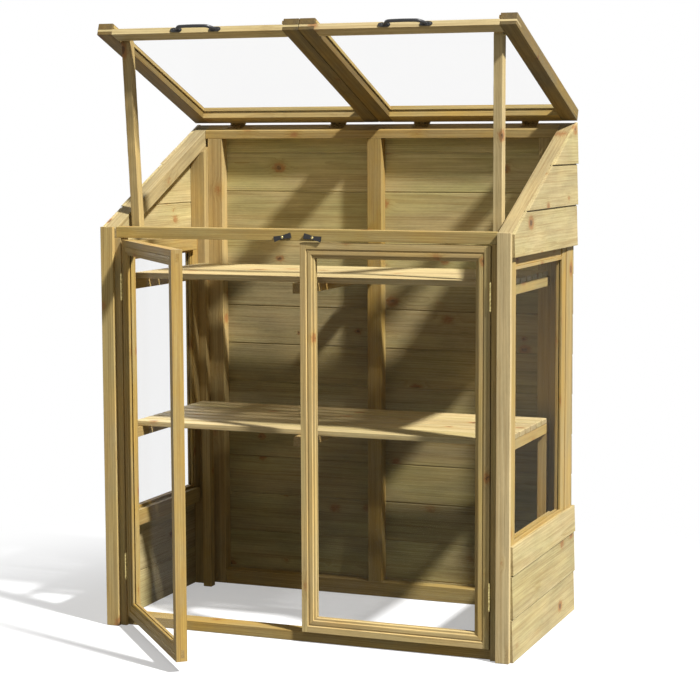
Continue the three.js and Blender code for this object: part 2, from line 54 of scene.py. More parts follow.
Array = np.ndarray
Range = tuple[float, float]
Point = tuple[float, float, float]
Noise = tuple[float, float, float]
Colour = tuple[float, float, float, float]
Outline = Union[Array, Sequence[Sequence[float]]]
log = logging.getLogger("greenhouse")

MM = 0.001
FRAME_SHIFT = -56.5  # where the front boards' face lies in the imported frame
WHITE = (1.0, 1.0, 1.0, 1.0)


# Shapes


class Along(Enum):
    """The axis that a profile is carried along, as the axes of its two coordinates and of the path."""

    X = (1, 2, 0)
    Y = (2, 0, 1)
    Z = (0, 1, 2)

    @property
    def direction(self) -> Point:
        """The path's direction."""
        return tuple(float(i == self.value[2]) for i in range(3))

    def points(self, p: Array, q: Array, path: Array) -> Array:
        """Puts the profile's two coordinates and the path's in their places, one point a row.

        Args:
            p: The profile's first coordinate.
            q: Its second coordinate.
            path: The coordinate along the path.

        Returns:
            The points, one a row, numbered as the three arrays are when they are stretched to one shape.
        """
        coordinates = np.stack(np.broadcast_arrays(p, q, path), axis=-1)
        points = np.empty(coordinates.shape)
        points[..., list(self.value)] = coordinates
        return points.reshape(-1, 3)


@dataclass
class Shell:
    """One closed surface.

    Attributes:
        points: Its corners, one row each, in millimetres.
        faces: The corners of each face, in order.
        run: The direction of the timber's grain, or of the metal's length.
    """

    points: Array
    faces: list[tuple[int, ...]]
    run: Point

    def outward(self) -> "Shell":
        """Turns every face round if the shell's signed volume is negative, so that faces point out.

        Returns:
            The shell itself.
        """
        fans = np.array([(f[0], a, b) for f in self.faces for a, b in zip(f[1:-1], f[2:])])
        a, b, c = (self.points[fans[:, i]] for i in range(3))
        if np.einsum("ij,ij->i", a, np.cross(b, c)).sum() < 0:
            self.faces = [tuple(reversed(f)) for f in self.faces]
        return self


def tube_faces(stations: int, sides: int) -> list[tuple[int, ...]]:
    """Faces of a grid of rings: quads between neighbouring rings, and one cap on each end.

    Args:
        stations: The number of rings.
        sides: The number of points in a ring.

    Returns:
        The faces, with the rings' points numbered ring after ring.
    """
    ring, side = np.meshgrid(np.arange(stations - 1), np.arange(sides), indexing="ij")
    here, there = ring * sides + side, ring * sides + (side + 1) % sides
    quads = np.stack([here, there, there + sides, here + sides], axis=-1).reshape(-1, 4)
    first_cap = tuple(range(sides - 1, -1, -1))
    last_cap = tuple(range((stations - 1) * sides, stations * sides))
    return [tuple(q) for q in quads.tolist()] + [first_cap, last_cap]


def carried(
    profile: Outline,
    start: Union[float, Array],
    end: Union[float, Array],
    along: Along,
    run: Optional[Point] = None,
) -> Shell:
    """A closed profile carried straight along an axis, to ends that may lean.

    Formula: each profile point (p, q) keeps its p and q and moves from its own start to its own end,
    so a start or end that grows evenly with p or q gives a mitre, a rake or a taper.

    Args:
        profile: The closed outline as (p, q) points.
        start: The path coordinate of the first end, one number or one for each point.
        end: The path coordinate of the other end.
        along: The path's axis.
        run: The grain's direction, or None where it follows the path.

    Returns:
        The closed shell.
    """
    p, q = np.asarray(profile, float).T
    ends = np.stack([np.broadcast_to(start, len(p)), np.broadcast_to(end, len(p))])
    return Shell(along.points(p, q, ends), tube_faces(2, len(p)), run or along.direction)


def bar(x: Range, y: Range, z: Range, run: Along) -> Shell:
    """A squared timber between two places on each axis, with its grain along one of them.

    Args:
        x: Where it starts and ends across the greenhouse.
        y: Where it starts and ends from front to back.
        z: Its underside and its top.
        run: The axis of its grain.

    Returns:
        The closed shell.
    """
    spans = (x, y, z)
    p, q, path = run.value
    (p0, p1), (q0, q1) = spans[p], spans[q]
    return carried([(p0, q0), (p1, q0), (p1, q1), (p0, q1)], *spans[path], run)


def turned(profile: Outline, centre: Point, axis: Along, sides: int = 24) -> Shell:
    """A shape turned on a lathe.

    Formula: a profile point (radius, height) at angle t stands at radius times the cosine and sine
    of t across the axis, and at its height along it. The first and last rings are capped.

    Args:
        profile: The (radius, height) points from one end to the other.
        centre: The point of the axis at height zero.
        axis: The lathe's axis.
        sides: The number of facets round the axis.

    Returns:
        The closed shell.
    """
    radius, height = np.asarray(profile, float).T[..., None]
    angle = np.linspace(0, 2 * np.pi, sides, endpoint=False)
    points = axis.points(radius * np.cos(angle), radius * np.sin(angle), height)
    return Shell(points + np.array(centre), tube_faces(len(profile), sides), axis.direction)


def rod_on_path(route: Array, radii: Array, normal: Array, flatness: Array, sides: int = 16) -> Shell:
    """A round or oval rod bent in one plane.

    Formula: at each point of the route, an oval stands square to the route's direction. It reaches
    the radius along the bend's own plane and flatness times the radius along the plane's normal.

    Args:
        route: The centreline, one point a row.
        radii: The rod's radius at each point.
        normal: The unit normal of the bend's plane.
        flatness: The oval's second radius as a share of the first, at each point.
        sides: The number of facets round the rod.

    Returns:
        The closed shell.
    """
    tangent = np.gradient(route, axis=0)
    tangent /= np.linalg.norm(tangent, axis=1, keepdims=True)
    inward = np.cross(np.broadcast_to(normal, tangent.shape), tangent)
    angle = np.linspace(0, 2 * np.pi, sides, endpoint=False)
    in_plane = radii[:, None, None] * np.cos(angle)[None, :, None] * inward[:, None, :]
    off_plane = (radii * flatness)[:, None, None] * np.sin(angle)[None, :, None] * normal
    points = route[:, None, :] + in_plane + off_plane
    return Shell(points.reshape(-1, 3), tube_faces(len(route), sides), Along.X.direction)


def oval(width: float, height: float, sides: int = 28, squareness: float = 2.6) -> Array:
    """A rounded oblong outline: a superellipse, |x/a|^n + |y/b|^n = 1, with n its squareness.

    Args:
        width: The outline's width, 2a.
        height: Its height, 2b.
        sides: The number of points round it.
        squareness: The power n, where 2 gives an ellipse.

    Returns:
        The outline, one (x, y) point a row.
    """
    angle = np.linspace(0, 2 * np.pi, sides, endpoint=False)
    circle = np.column_stack([np.cos(angle), np.sin(angle)])
    return np.array([width, height]) / 2 * np.sign(circle) * np.abs(circle) ** (2 / squareness)


DOME_TURN = 0.42 * math.pi  # how far round the quarter ellipse a screw's dome goes
SEAT_SHARES = ((1.0, -0.3),)  # the seat below the dome, as shares of its radius and rise
RECESS_SHARES = ((0.32, 0.95), (0.2, 0.35))  # the recess's rim and bottom, as the same shares


def screw_head(centre: Point, axis: Along, radius: float, rise: float) -> Shell:
    """A domed screw head with a round recess.

    Formula: a seat, most of a quarter ellipse and a narrow cone down into it, turned on the axis.

    Args:
        centre: The middle of the head's seat.
        axis: The screw's axis.
        radius: The head's radius.
        rise: The dome's height, negative where it faces down the axis.

    Returns:
        The closed shell.
    """
    t = np.linspace(0, DOME_TURN, 5)
    dome = np.column_stack([np.cos(t), np.sin(t)])
    profile = np.concatenate([SEAT_SHARES, dome, RECESS_SHARES]) * [radius, rise]
    return turned(profile, centre, axis, sides=16)


def knuckles(
    start: Point, length: float, axis: Along, radius: float, ease: float
) -> tuple[list[Shell], list[Shell]]:
    """The five knuckles of a hinge, in turn on its fixed and its moving leaf.

    Formula: each is a cylinder with a straight bevel at both ends, a fifth of the hinge long less
    a little play, turned on the hinge's axis.

    Args:
        start: The end of the first knuckle, on the axis.
        length: The hinge's length.
        axis: The hinge's axis.
        radius: The knuckles' radius.
        ease: The bevel's width.

    Returns:
        The three knuckles of the fixed leaf and the two of the moving one.
    """
    count, play = 5, 0.15
    segment = length / count
    low, high = play, segment - play
    profile = [(radius - ease, low), (radius, low + ease), (radius, high - ease), (radius - ease, high)]
    step = np.array(axis.direction) * segment
    made = [turned(profile, tuple(start + i * step), axis) for i in range(count)]
    return made[::2], made[1::2]


@dataclass(frozen=True)
class Placing:
    """Where a sub-assembly's own frame stands in the greenhouse.

    Attributes:
        mirror: 1, or -1 where the sub-assembly's x is turned round first.
        axis: The axis of the turn that follows.
        angle: The turn, in degrees.
        origin: Where the own origin goes, in millimetres.
    """

    mirror: float = 1.0
    axis: str = "Z"
    angle: float = 0.0
    origin: Point = (0.0, 0.0, 0.0)

    @property
    def turn(self) -> Array:
        """The mirror and the turn as one matrix."""
        turn = np.array(Matrix.Rotation(math.radians(self.angle), 3, self.axis))
        return turn @ np.diag([self.mirror, 1.0, 1.0])

    def points(self, points: Array) -> Array:
        """Points of the sub-assembly's frame in the greenhouse's frame."""
        return points @ self.turn.T + np.array(self.origin)

    def placed(self, shell: Shell) -> Shell:
        """A copy of a shell in the greenhouse's frame, with its faces outwards."""
        return Shell(self.points(shell.points), shell.faces, tuple(self.turn @ shell.run)).outward()


HERE = Placing()


# Shader maths


class Value:
    """A number socket that Python's arithmetic extends with Math nodes."""

    def __init__(self, tree: "Tree", socket: bpy.types.NodeSocket) -> None:
        """Wraps the socket of one of the tree's nodes."""
        self.tree = tree
        self.socket = socket

    def _math(self, operation: str, *numbers: "Number") -> "Value":
        """Adds one Math node on one or two numbers."""
        node = self.tree.node("ShaderNodeMath", {"operation": operation}, dict(enumerate(numbers)))
        return Value(self.tree, node.outputs[0])

    def __add__(self, other: "Number") -> "Value":
        """The sum."""
        return self._math("ADD", self, other)

    __radd__ = __add__

    def __sub__(self, other: "Number") -> "Value":
        """The difference."""
        return self._math("SUBTRACT", self, other)

    def __rsub__(self, other: "Number") -> "Value":
        """The difference from a plain number."""
        return self._math("SUBTRACT", other, self)

    def __mul__(self, other: "Number") -> "Value":
        """The product."""
        return self._math("MULTIPLY", self, other)

    __rmul__ = __mul__

    def __truediv__(self, other: "Number") -> "Value":
        """The quotient."""
        return self._math("DIVIDE", self, other)

    def __rtruediv__(self, other: "Number") -> "Value":
        """The quotient of a plain number."""
        return self._math("DIVIDE", other, self)

    def __pow__(self, other: "Number") -> "Value":
        """The power."""
        return self._math("POWER", self, other)

    def __rpow__(self, other: "Number") -> "Value":
        """The power of a plain number."""
        return self._math("POWER", other, self)

    def root(self) -> "Value":
        """The square root."""
        return self._math("SQRT", self)

    def fraction(self) -> "Value":
        """What is left above the whole number below."""
        return self._math("FRACT", self)

    def least(self, other: "Number") -> "Value":
        """The smaller of two numbers."""
        return self._math("MINIMUM", self, other)

    def most(self, other: "Number") -> "Value":
        """The larger of two numbers."""
        return self._math("MAXIMUM", self, other)

    def above(self, edge: "Number") -> "Value":
        """1 where the number is above the edge, else 0."""
        return self._math("GREATER_THAN", self, edge)

    def smooth(self, low: "Number", high: "Number", start: float = 0.0) -> "Value":
        """A smooth step from the start at low to 1 at high.

        Args:
            low: Where the step begins.
            high: Where it ends, which may lie below low.
            start: Its value at and before low.

        Returns:
            The step's value.
        """
        values = {"Value": self, "From Min": low, "From Max": high, "To Min": start, "To Max": 1.0}
        settings = {"interpolation_type": "SMOOTHSTEP"}
        node = self.tree.node("ShaderNodeMapRange", settings, values)
        return Value(self.tree, node.outputs["Result"])


Number = Union[float, Value]


def linear(red: int, green: int, blue: int) -> Colour:
    """A colour given in the 0 to 255 steps of a screen, as the linear values of a shader.

    Formula: the usual screen curve, a straight line near black and a power of 2.4 above it.

    Args:
        red: The red, from 0 to 255.
        green: The green.
        blue: The blue.

    Returns:
        The colour, with an alpha of 1.
    """
    steps = np.array([red, green, blue]) / 255
    curve = np.where(steps <= 0.04045, steps / 12.92, ((steps + 0.055) / 1.055) ** 2.4)
    return (*curve.tolist(), 1.0)


class Tree:
    """A node tree that is filled from empty."""

    def __init__(self, tree: bpy.types.NodeTree) -> None:
        """Empties the tree."""
        self.tree = tree
        tree.nodes.clear()

    def node(
        self, kind: str, settings: Optional[dict] = None, values: Optional[dict] = None
    ) -> bpy.types.Node:
        """Adds a node.

        Args:
            kind: The node's type.
            settings: Its own settings, set first.
            values: For each input socket's name or number, a plain value or what is linked to it.

        Returns:
            The node.
        """
        node = self.tree.nodes.new(kind)
        for name, value in (settings or {}).items():
            setattr(node, name, value)
        for key, value in (values or {}).items():
            self.feed(node.inputs[key], value)
        return node

    def feed(self, socket: bpy.types.NodeSocket, value: object) -> None:
        """Links a socket or a wrapped number to an input, or sets a plain value on it.

        Args:
            socket: The input.
            value: What it gets.
        """
        if isinstance(value, Value):
            value = value.socket
        if isinstance(value, bpy.types.NodeSocket):
            self.tree.links.new(value, socket)
        else:
            socket.default_value = value

    def seen(self) -> Value:
        """1 for what the camera, a shine or a clear pane sees, and 0 for what only lights.

        Returns:
            The number, from Light Path's three kinds of ray.
        """
        rays = self.node("ShaderNodeLightPath").outputs
        camera, glossy, clear = (
            Value(self, rays[f"Is {kind} Ray"]) for kind in ("Camera", "Glossy", "Transmission")
        )
        return camera.most(glossy).most(clear)


class Recipe(Tree):
    """One material's node tree, with a Principled shader at its end."""

    def __init__(self, name: str) -> None:
        """Makes an empty material of that name.

        Args:
            name: The material's name.
        """
        self.material = bpy.data.materials.new(name)
        self.material.use_nodes = True
        super().__init__(self.material.node_tree)
        self.shader = self.node("ShaderNodeBsdfPrincipled")
        self.output = self.node("ShaderNodeOutputMaterial", None, {"Surface": self.shader.outputs[0]})

    def attribute(self, name: str) -> bpy.types.NodeSocket:
        """The vector kept under that name at the mesh's points."""
        settings = {"attribute_type": "GEOMETRY", "attribute_name": name}
        return self.node("ShaderNodeAttribute", settings).outputs["Vector"]

    def place(self) -> bpy.types.NodeSocket:
        """The object's own coordinates, in metres."""
        return self.node("ShaderNodeTexCoord").outputs["Object"]

    def parts(self, vector: bpy.types.NodeSocket) -> tuple[Value, Value, Value]:
        """A vector's three numbers."""
        node = self.node("ShaderNodeSeparateXYZ", None, {0: vector})
        return tuple(Value(self, socket) for socket in node.outputs)

    def vector(self, x: Number, y: Number, z: Number) -> bpy.types.NodeSocket:
        """A vector of three numbers."""
        return self.node("ShaderNodeCombineXYZ", None, {0: x, 1: y, 2: z}).outputs[0]

    def noise(self, vector: bpy.types.NodeSocket, scale: float = 1.0, detail: float = 2.0) -> Value:
        """Soft noise from 0 to 1 at a vector."""
        values = {"Vector": vector, "Scale": scale, "Detail": detail, "Roughness": 0.55}
        return Value(self, self.node("ShaderNodeTexNoise", None, values).outputs[0])

    def mix(
        self, share: Number, first: object, second: object, blend: str = "MIX"
    ) -> bpy.types.NodeSocket:
        """Two colours mixed by a share of the second.

        Args:
            share: How much of the second there is, from 0 to 1.
            first: The first colour.
            second: The second colour.
            blend: How the second is laid over the first.

        Returns:
            The mixed colour.
        """
        settings = {"data_type": "RGBA", "blend_type": blend}
        node = self.node("ShaderNodeMix", settings, {0: share, 6: first, 7: second})
        return node.outputs[2]

    def bump(self, height: Value, depth: float, strength: float) -> None:
        """Raises the surface by a height from 0 to 1 times a depth in metres.

        Args:
            height: The height over the surface.
            depth: What a height of 1 stands for.
            strength: How much of the bump shows, from 0 to 1.
        """
        values = {"Height": height, "Distance": depth, "Strength": strength}
        node = self.node("ShaderNodeBump", None, values)
        self.feed(self.shader.inputs["Normal"], node.outputs[0])

    def finish(self, **values: object) -> bpy.types.Material:
        """Sets or links the shader's sockets.

        Args:
            **values: For each socket's name, with underscores for spaces, what it gets.

        Returns:
            The material.
        """
        for name, value in values.items():
            self.feed(self.shader.inputs[name.replace("_", " ")], value)
        return self.material


@dataclass(frozen=True)
class Timber:
    """Pressure-treated softwood: growth rings, streaks, green patches and knots, all along the grain.

    The grain attribute gives metres along, across and through each board from its pith, and the tone
    attribute gives each board's own lightness, greenness and warmth, mostly from 0 to 1. A Noise
    gives the features a metre along the grain, those across it and the detail.
    """

    name: str = "treated_softwood"
    early: Colour = linear(227, 208, 160)
    late: Colour = linear(140, 106, 52)
    green: Colour = (0.80, 0.92, 0.68, 1.0)
    warm: Colour = (0.78, 0.61, 0.28, 1.0)
    knot_core: Colour = linear(92, 56, 28)
    knot_rim: Colour = linear(160, 102, 52)
    dirt: Colour = linear(74, 54, 28)
    end_dirt: float = 0.3
    ring_width: float = 0.006
    ring_sharpness: float = 2.5
    ring_wander: float = 0.012
    ring_bend: float = 0.006
    wander: Noise = (2.2, 16.0, 3.0)
    fine: Noise = (5.0, 380.0, 2.0)
    streak: Noise = (2.5, 85.0, 3.0)
    broad: Noise = (1.5, 30.0, 3.0)
    speck: Noise = (70.0, 240.0, 2.0)
    blotch: Noise = (5.0, 14.0, 4.0)
    patch: Noise = (3.3, 10.0, 3.0)
    knot_spacing: Range = (0.19, 0.07)
    knot_stretch: Point = (0.7, 1.0, 0.6)
    knot_share: float = 0.6
    knot_radius: Range = (0.004, 0.014)
    knot_wobble: float = 0.014
    core_share: float = 0.6
    rim_share: float = 1.9
    halo_share: float = 3.5
    lightness: Range = (0.70, 1.08)
    roughness: Range = (0.62, 0.82)
    relief: float = 0.0005

    def knots(self, recipe: Recipe, x: Value, y: Value, z: Value) -> tuple[Value, Value, Value]:
        """Knots inside the board, one at most in each stretched cell.

        Formula: a Voronoi point in coordinates divided by the spacing gives the knot's centre. The
        distance to it in metres, with the length along the grain and the depth counted for less
        and noise added, is measured against a radius from the cell's own random colour.

        Args:
            recipe: The material's nodes.
            x: Metres along the grain.
            y: Metres across it.
            z: Metres through the board.

        Returns:
            The core's mask, the dark rim's mask and a soft mask of the grain round the knot.
        """
        long, wide = self.knot_spacing
        at = recipe.vector(x / long, y / wide, z / wide)
        cell = recipe.node("ShaderNodeTexVoronoi", None, {"Vector": at, "Scale": 1.0})
        centre = recipe.parts(cell.outputs["Position"])
        pick, size, _ = recipe.parts(cell.outputs["Color"])
        off_x, off_y, off_z = (
            (own - middle * step) * share
            for own, middle, step, share in zip((x, y, z), centre, (long, wide, wide), self.knot_stretch)
        )
        rough = recipe.noise(recipe.vector(x, y, z), scale=130.0, detail=3.0)
        wobble = (rough - 0.35) * self.knot_wobble
        distance = (off_x * off_x + off_y * off_y + off_z * off_z).root() + wobble
        small, large = self.knot_radius
        radius = size * (large - small) + small
        there = pick.above(1 - self.knot_share)
        core = distance.smooth(radius, radius * self.core_share) * there
        rim = distance.smooth(radius * self.rim_share, radius) * there * (1 - core)
        halo = distance.smooth(radius * self.halo_share, radius) * there
        return core, rim, halo

    def make(self, ends: bool) -> bpy.types.Material:
        """Makes the material.

        Formula: the rings are a power of the fraction left when the distance from the pith, bent
        by noise and by the knots, is divided by the ring's width. Each noise is stretched along
        the grain by the ratio of its two scales.

        Args:
            ends: Whether it is for sawn end grain, which is dirtier and shows no knots.

        Returns:
            The material.
        """
        recipe = Recipe(self.name + ("_end_grain" if ends else ""))
        x, y, z = recipe.parts(recipe.attribute("grain"))
        light, green, warm = recipe.parts(recipe.attribute("tone"))

        def streaks(along: float, across: float, detail: float, shift: float = 0.0) -> Value:
            """Noise of so many features a metre along the grain and across it."""
            return recipe.noise(recipe.vector(x * along + shift, y * across, z * across), 1.0, detail)

        wander = streaks(*self.wander) - 0.5
        core, rim, halo = self.knots(recipe, x, y, z)
        from_pith = (y * y + z * z).root() + wander * self.ring_wander + halo * self.ring_bend
        ring = (from_pith / self.ring_width).fraction() ** self.ring_sharpness
        fine, streak, broad = streaks(*self.fine), streaks(*self.streak), streaks(*self.broad)
        speck, blotch, patch = streaks(*self.speck), streaks(*self.blotch), streaks(*self.patch, shift=7.0)
        lines = ring * 0.18 + fine.smooth(0.35, 0.7) * 0.2
        grain = lines + streak.smooth(0.4, 0.64) * 0.15 + broad * 0.47
        colour = recipe.mix(grain, self.early, self.late)
        dye = (patch.smooth(0.3, 0.7) * 0.6 + 0.4) * green
        colour = recipe.mix(dye, colour, self.green, "MULTIPLY")
        stain = (blotch.smooth(0.3, 0.7) * 0.5 + 0.6) * warm + halo * 0.2
        colour = recipe.mix(stain.least(1.0), colour, self.warm, "MULTIPLY")
        if ends:
            colour = recipe.mix(self.end_dirt, colour, self.dirt)
        else:
            colour = recipe.mix(rim * 0.75, colour, self.knot_rim)
            colour = recipe.mix(core * 0.9, colour, self.knot_core)
        low, high = self.lightness
        uneven = (broad - 0.5) * 0.3 + (blotch - 0.5) * 0.7 + (speck - 0.5) * 0.2
        values = {"Value": light * (high - low) + low + uneven, "Color": colour}
        colour = recipe.node("ShaderNodeHueSaturation", None, values).outputs[0]
        smooth, rough = self.roughness
        recipe.bump(ring * 0.5 + fine * 0.5 - rim * 0.6, depth=self.relief, strength=0.6)
        return recipe.finish(Base_Color=colour, Roughness=grain * (rough - smooth) + smooth, IOR=1.45)


@dataclass(frozen=True)
class ClearPane:
    """A clear glazing sheet that shows what is behind it and shines towards its edges."""

    name: str = "clear_pane"
    tint: Colour = linear(58, 72, 64)
    smear_tint: Colour = linear(84, 96, 88)
    facing_alpha: float = 0.02
    edge_alpha: float = 0.08

    def make(self) -> bpy.types.Material:
        """Makes the material: its alpha rises with the cube of the turn away from the eye.

        Returns:
            The material.
        """
        recipe = Recipe(self.name)
        weight = recipe.node("ShaderNodeLayerWeight", None, {"Blend": 0.5})
        turned_away = Value(recipe, weight.outputs["Facing"])
        smear = recipe.noise(recipe.place(), scale=3.0)
        alpha = turned_away**3 * (self.edge_alpha - self.facing_alpha) + self.facing_alpha
        colour = recipe.mix(smear, self.tint, self.smear_tint)
        return recipe.finish(Base_Color=colour, Roughness=smear * 0.03 + 0.02, Alpha=alpha, IOR=1.5)


@dataclass(frozen=True)
class Paint:
    """Black stove paint on cast metal, slightly uneven."""

    name: str = "black_paint"
    colour: Colour = linear(26, 26, 27)
    worn: Colour = linear(62, 60, 56)
    roughness: Range = (0.28, 0.5)

    def make(self) -> bpy.types.Material:
        """Makes the material: noise moves the colour, the gloss and a fine bump.

        Returns:
            The material.
        """
        recipe = Recipe(self.name)
        place = recipe.place()
        cloud, speck = recipe.noise(place, scale=90.0, detail=3.0), recipe.noise(place, scale=900.0)
        low, high = self.roughness
        recipe.bump(speck, depth=0.0001, strength=0.4)
        colour = recipe.mix(cloud.smooth(0.55, 0.8) * 0.6, self.colour, self.worn)
        return recipe.finish(Base_Color=colour, Roughness=cloud * (high - low) + low, IOR=1.5)


@dataclass(frozen=True)
class Metal:
    """A plated or bare metal with dull patches."""

    name: str
    bright: Colour
    dull: Colour
    roughness: Range = (0.3, 0.6)
    metallic: float = 0.9

    def make(self) -> bpy.types.Material:
        """Makes the material: cloudy noise mixes bright and dull metal and moves the gloss.

        Returns:
            The material.
        """
        recipe = Recipe(self.name)
        place = recipe.place()
        cloud, scratch = recipe.noise(place, scale=140.0, detail=4.0), recipe.noise(place, scale=1500.0)
        patch = cloud.smooth(0.35, 0.7)
        low, high = self.roughness
        recipe.bump(scratch, depth=0.00005, strength=0.4)
        colour = recipe.mix(patch, self.bright, self.dull)
        gloss = patch * (high - low) + low
        return recipe.finish(Base_Color=colour, Roughness=gloss, Metallic=self.metallic)


class Finish(Enum):
    """A finish, under the name of the record's slot."""

    TIMBER = "timber"
    PANE = "pane"
    BLACK = "black"
    ZINC = "zinc"
    BRASS = "brass"


def finishes() -> dict[Finish, list[bpy.types.Material]]:
    """Makes every material once: for each finish one, and a second for the timber's end grain.

    Returns:
        Each finish's materials, in the order of a mesh's material slots.
    """
    timber = Timber()
    zinc = Metal("yellow_zinc", linear(214, 198, 136), linear(150, 134, 84))
    brass = Metal("dull_brass", linear(168, 142, 86), linear(92, 76, 46), (0.4, 0.7))
    return {
        Finish.TIMBER: [timber.make(ends=False), timber.make(ends=True)],
        Finish.PANE: [ClearPane().make()],
        Finish.BLACK: [Paint().make()],
        Finish.ZINC: [zinc.make()],
        Finish.BRASS: [brass.make()],
    }


# Pieces


class Stock(Enum):
    """A batch of timber, as the ranges of its boards' lightness, greenness and warmth."""

    FRAME = ((0.2, 0.5), (0.25, 0.6), (0.6, 1.0))
    PALE = ((0.75, 0.95), (0.1, 0.4), (0.0, 0.2))
    CLADDING = ((0.1, 0.45), (0.3, 0.7), (0.0, 0.1))
    BACK = ((0.35, 0.7), (0.7, 1.0), (0.0, 0.1))
    # darker, browner boards for the lower back: painted shade of the shelves and the dim inside
    DAMP = ((-0.35, 0.05), (0.5, 0.9), (0.1, 0.35))
    DOOR = ((0.65, 0.95), (0.15, 0.5), (0.35, 0.7))
    RAFTER = ((-0.3, 0.0), (0.1, 0.4), (0.05, 0.25))
    # very dark, warm boards for the lid stiles: painted shade of the lid's underside
    STILE = ((-0.9, -0.65), (0.3, 0.6), (0.9, 1.2))
    SLAT = ((0.65, 1.0), (0.2, 0.5), (0.0, 0.15))
    LID = ((0.3, 0.55), (0.3, 0.6), (0.5, 0.9))

    def tone(self, source: np.random.Generator) -> Array:
        """One board's own tone, drawn evenly from the ranges."""
        low, high = np.array(self.value).T
        return source.uniform(low, high)


class Workshop:
    """Makes finished pieces of the greenhouse and puts each on its body."""

    PITH_OFFSET = (0.012, 0.05)  # how far a board's middle lies from the pith, in metres
    PITH_TILT = 0.006  # how much the pith may lean, for each metre of length
    TRUNK = 9.0  # the length that a board's place in the trunk is drawn from, in metres
    END_TURN = 0.8  # a face whose normal lies this much along the grain is end grain

    def __init__(self, materials: dict[Finish, list[bpy.types.Material]]) -> None:
        """Keeps the materials that the pieces share."""
        self.materials = materials
        self.made: list[str] = []

    def grain(
        self, shell: Shell, source: np.random.Generator, stock: Stock
    ) -> tuple[Array, Array, Array]:
        """The grain and tone of one board, and which faces are its end grain.

        Formula: a point's place along the grain, and its two distances square to it from a pith
        that lies off the board, the wider side of the board first.

        Args:
            shell: The board's surface.
            source: The piece's own seeded random source.
            stock: The batch that the board is from.

        Returns:
            The grain and the tone at each point, and a 1 for each face of end grain.
        """
        run = np.array(shell.run) / np.linalg.norm(shell.run)
        first = np.cross(run, np.eye(3)[np.argmin(np.abs(run))])
        first /= np.linalg.norm(first)
        axes = np.array([run, first, np.cross(run, first)])
        local = (shell.points - shell.points.mean(0)) @ axes.T * MM
        extent = np.ptp(local, axis=0)
        if extent[2] > extent[1]:
            local = local[:, [0, 2, 1]]
        sides = np.where(source.random(2) < 0.5, -1.0, 1.0)
        pith = source.uniform(*self.PITH_OFFSET, 2) * sides
        tilt = source.uniform(-self.PITH_TILT, self.PITH_TILT, 2)
        along = source.uniform(0.0, self.TRUNK)
        grain = np.column_stack([local[:, 0] + along, local[:, 1:] + pith + local[:, :1] * tilt])
        tone = np.tile(stock.tone(source), (len(grain), 1))
        corners = np.array([f[:3] for f in shell.faces])
        a, b, c = (shell.points[corners[:, i]] for i in range(3))
        normal = np.cross(b - a, c - a)
        normal /= np.maximum(np.linalg.norm(normal, axis=1, keepdims=True), 1e-9)
        return grain, tone, (np.abs(normal @ run) > self.END_TURN).astype(np.int32)

    def dress_timber(self, mesh: bpy.types.Mesh, shells: Sequence[Shell], stock: Stock) -> None:
        """Writes the grain and tone of every board to a mesh, and marks its end grain.

        Args:
            mesh: The mesh, whose name seeds the random source.
            shells: The boards that it is made of, in their places.
            stock: The batch that they are from.
        """
        source = np.random.default_rng(zlib.crc32(mesh.name.encode()))
        made = [self.grain(shell, source, stock) for shell in shells]
        grain, tone, ends = (np.concatenate([m[i] for m in made]) for i in range(3))
        for label, data in (("grain", grain), ("tone", tone)):
            attribute = mesh.attributes.new(label, "FLOAT_VECTOR", "POINT")
            attribute.data.foreach_set("vector", data.astype(np.float32).ravel())
        mesh.polygons.foreach_set("material_index", ends)

    def piece(
        self,
        name: str,
        shells: Sequence[Shell],
        node: str = "",
        body: str = "frame",
        finish: Finish = Finish.TIMBER,
        placing: Placing = HERE,
        bevel: float = 1.2,
        smooth_angle: float = 35.0,
        stock: Stock = Stock.FRAME,
    ) -> None:
        """Makes one piece of closed shells, dresses it and rides it on its body.

        Args:
            name: The piece's name.
            shells: Its closed surfaces, in the sub-assembly's own frame.
            node: The CAD node that it stands for, if any.
            body: The body that it moves with.
            finish: Its finish.
            placing: Where that frame stands.
            bevel: The width of its rounded edges in millimetres, or 0 for none.
            smooth_angle: Faces that meet at less than this angle, in degrees, are shaded as one.
            stock: The batch that its boards are from.
        """
        placed = [placing.placed(shell) for shell in shells]
        starts = np.cumsum([0] + [len(s.points) for s in placed]).tolist()
        points = (np.concatenate([s.points for s in placed]) + [0.0, FRAME_SHIFT, 0.0]) * MM
        faces = [tuple(i + start for i in f) for s, start in zip(placed, starts) for f in s.faces]
        mesh = bpy.data.meshes.new(name)
        mesh.from_pydata(points.tolist(), [], faces)
        mesh.polygons.foreach_set("use_smooth", np.ones(len(faces), bool))
        for material in self.materials[finish]:
            mesh.materials.append(material)
        if finish is Finish.TIMBER:
            self.dress_timber(mesh, placed, stock)
        mesh.validate()
        if not bevel:
            mesh.set_sharp_from_angle(angle=math.radians(smooth_angle))
        mesh.update()
        piece = bpy.data.objects.new(name, mesh)
        bpy.context.scene.collection.objects.link(piece)
        if bevel:
            rounding = piece.modifiers.new("eased_edges", "BEVEL")
            rounding.width = bevel * MM
            rounding.segments = 2
            rounding.limit_method = "ANGLE"
            rounding.angle_limit = math.radians(smooth_angle)
            rounding.harden_normals = True
        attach(piece, body)
        if node:
            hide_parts(node)
        self.made.append(name)
        log.info("%s: %d shells on %s", name, len(shells), body)


class Side(Enum):
    """A side of the greenhouse, as its direction along X."""

    LEFT = -1.0
    RIGHT = 1.0

    @property
    def label(self) -> str:
        """The side's name, as the pieces' names have it."""
        return self.name.lower()


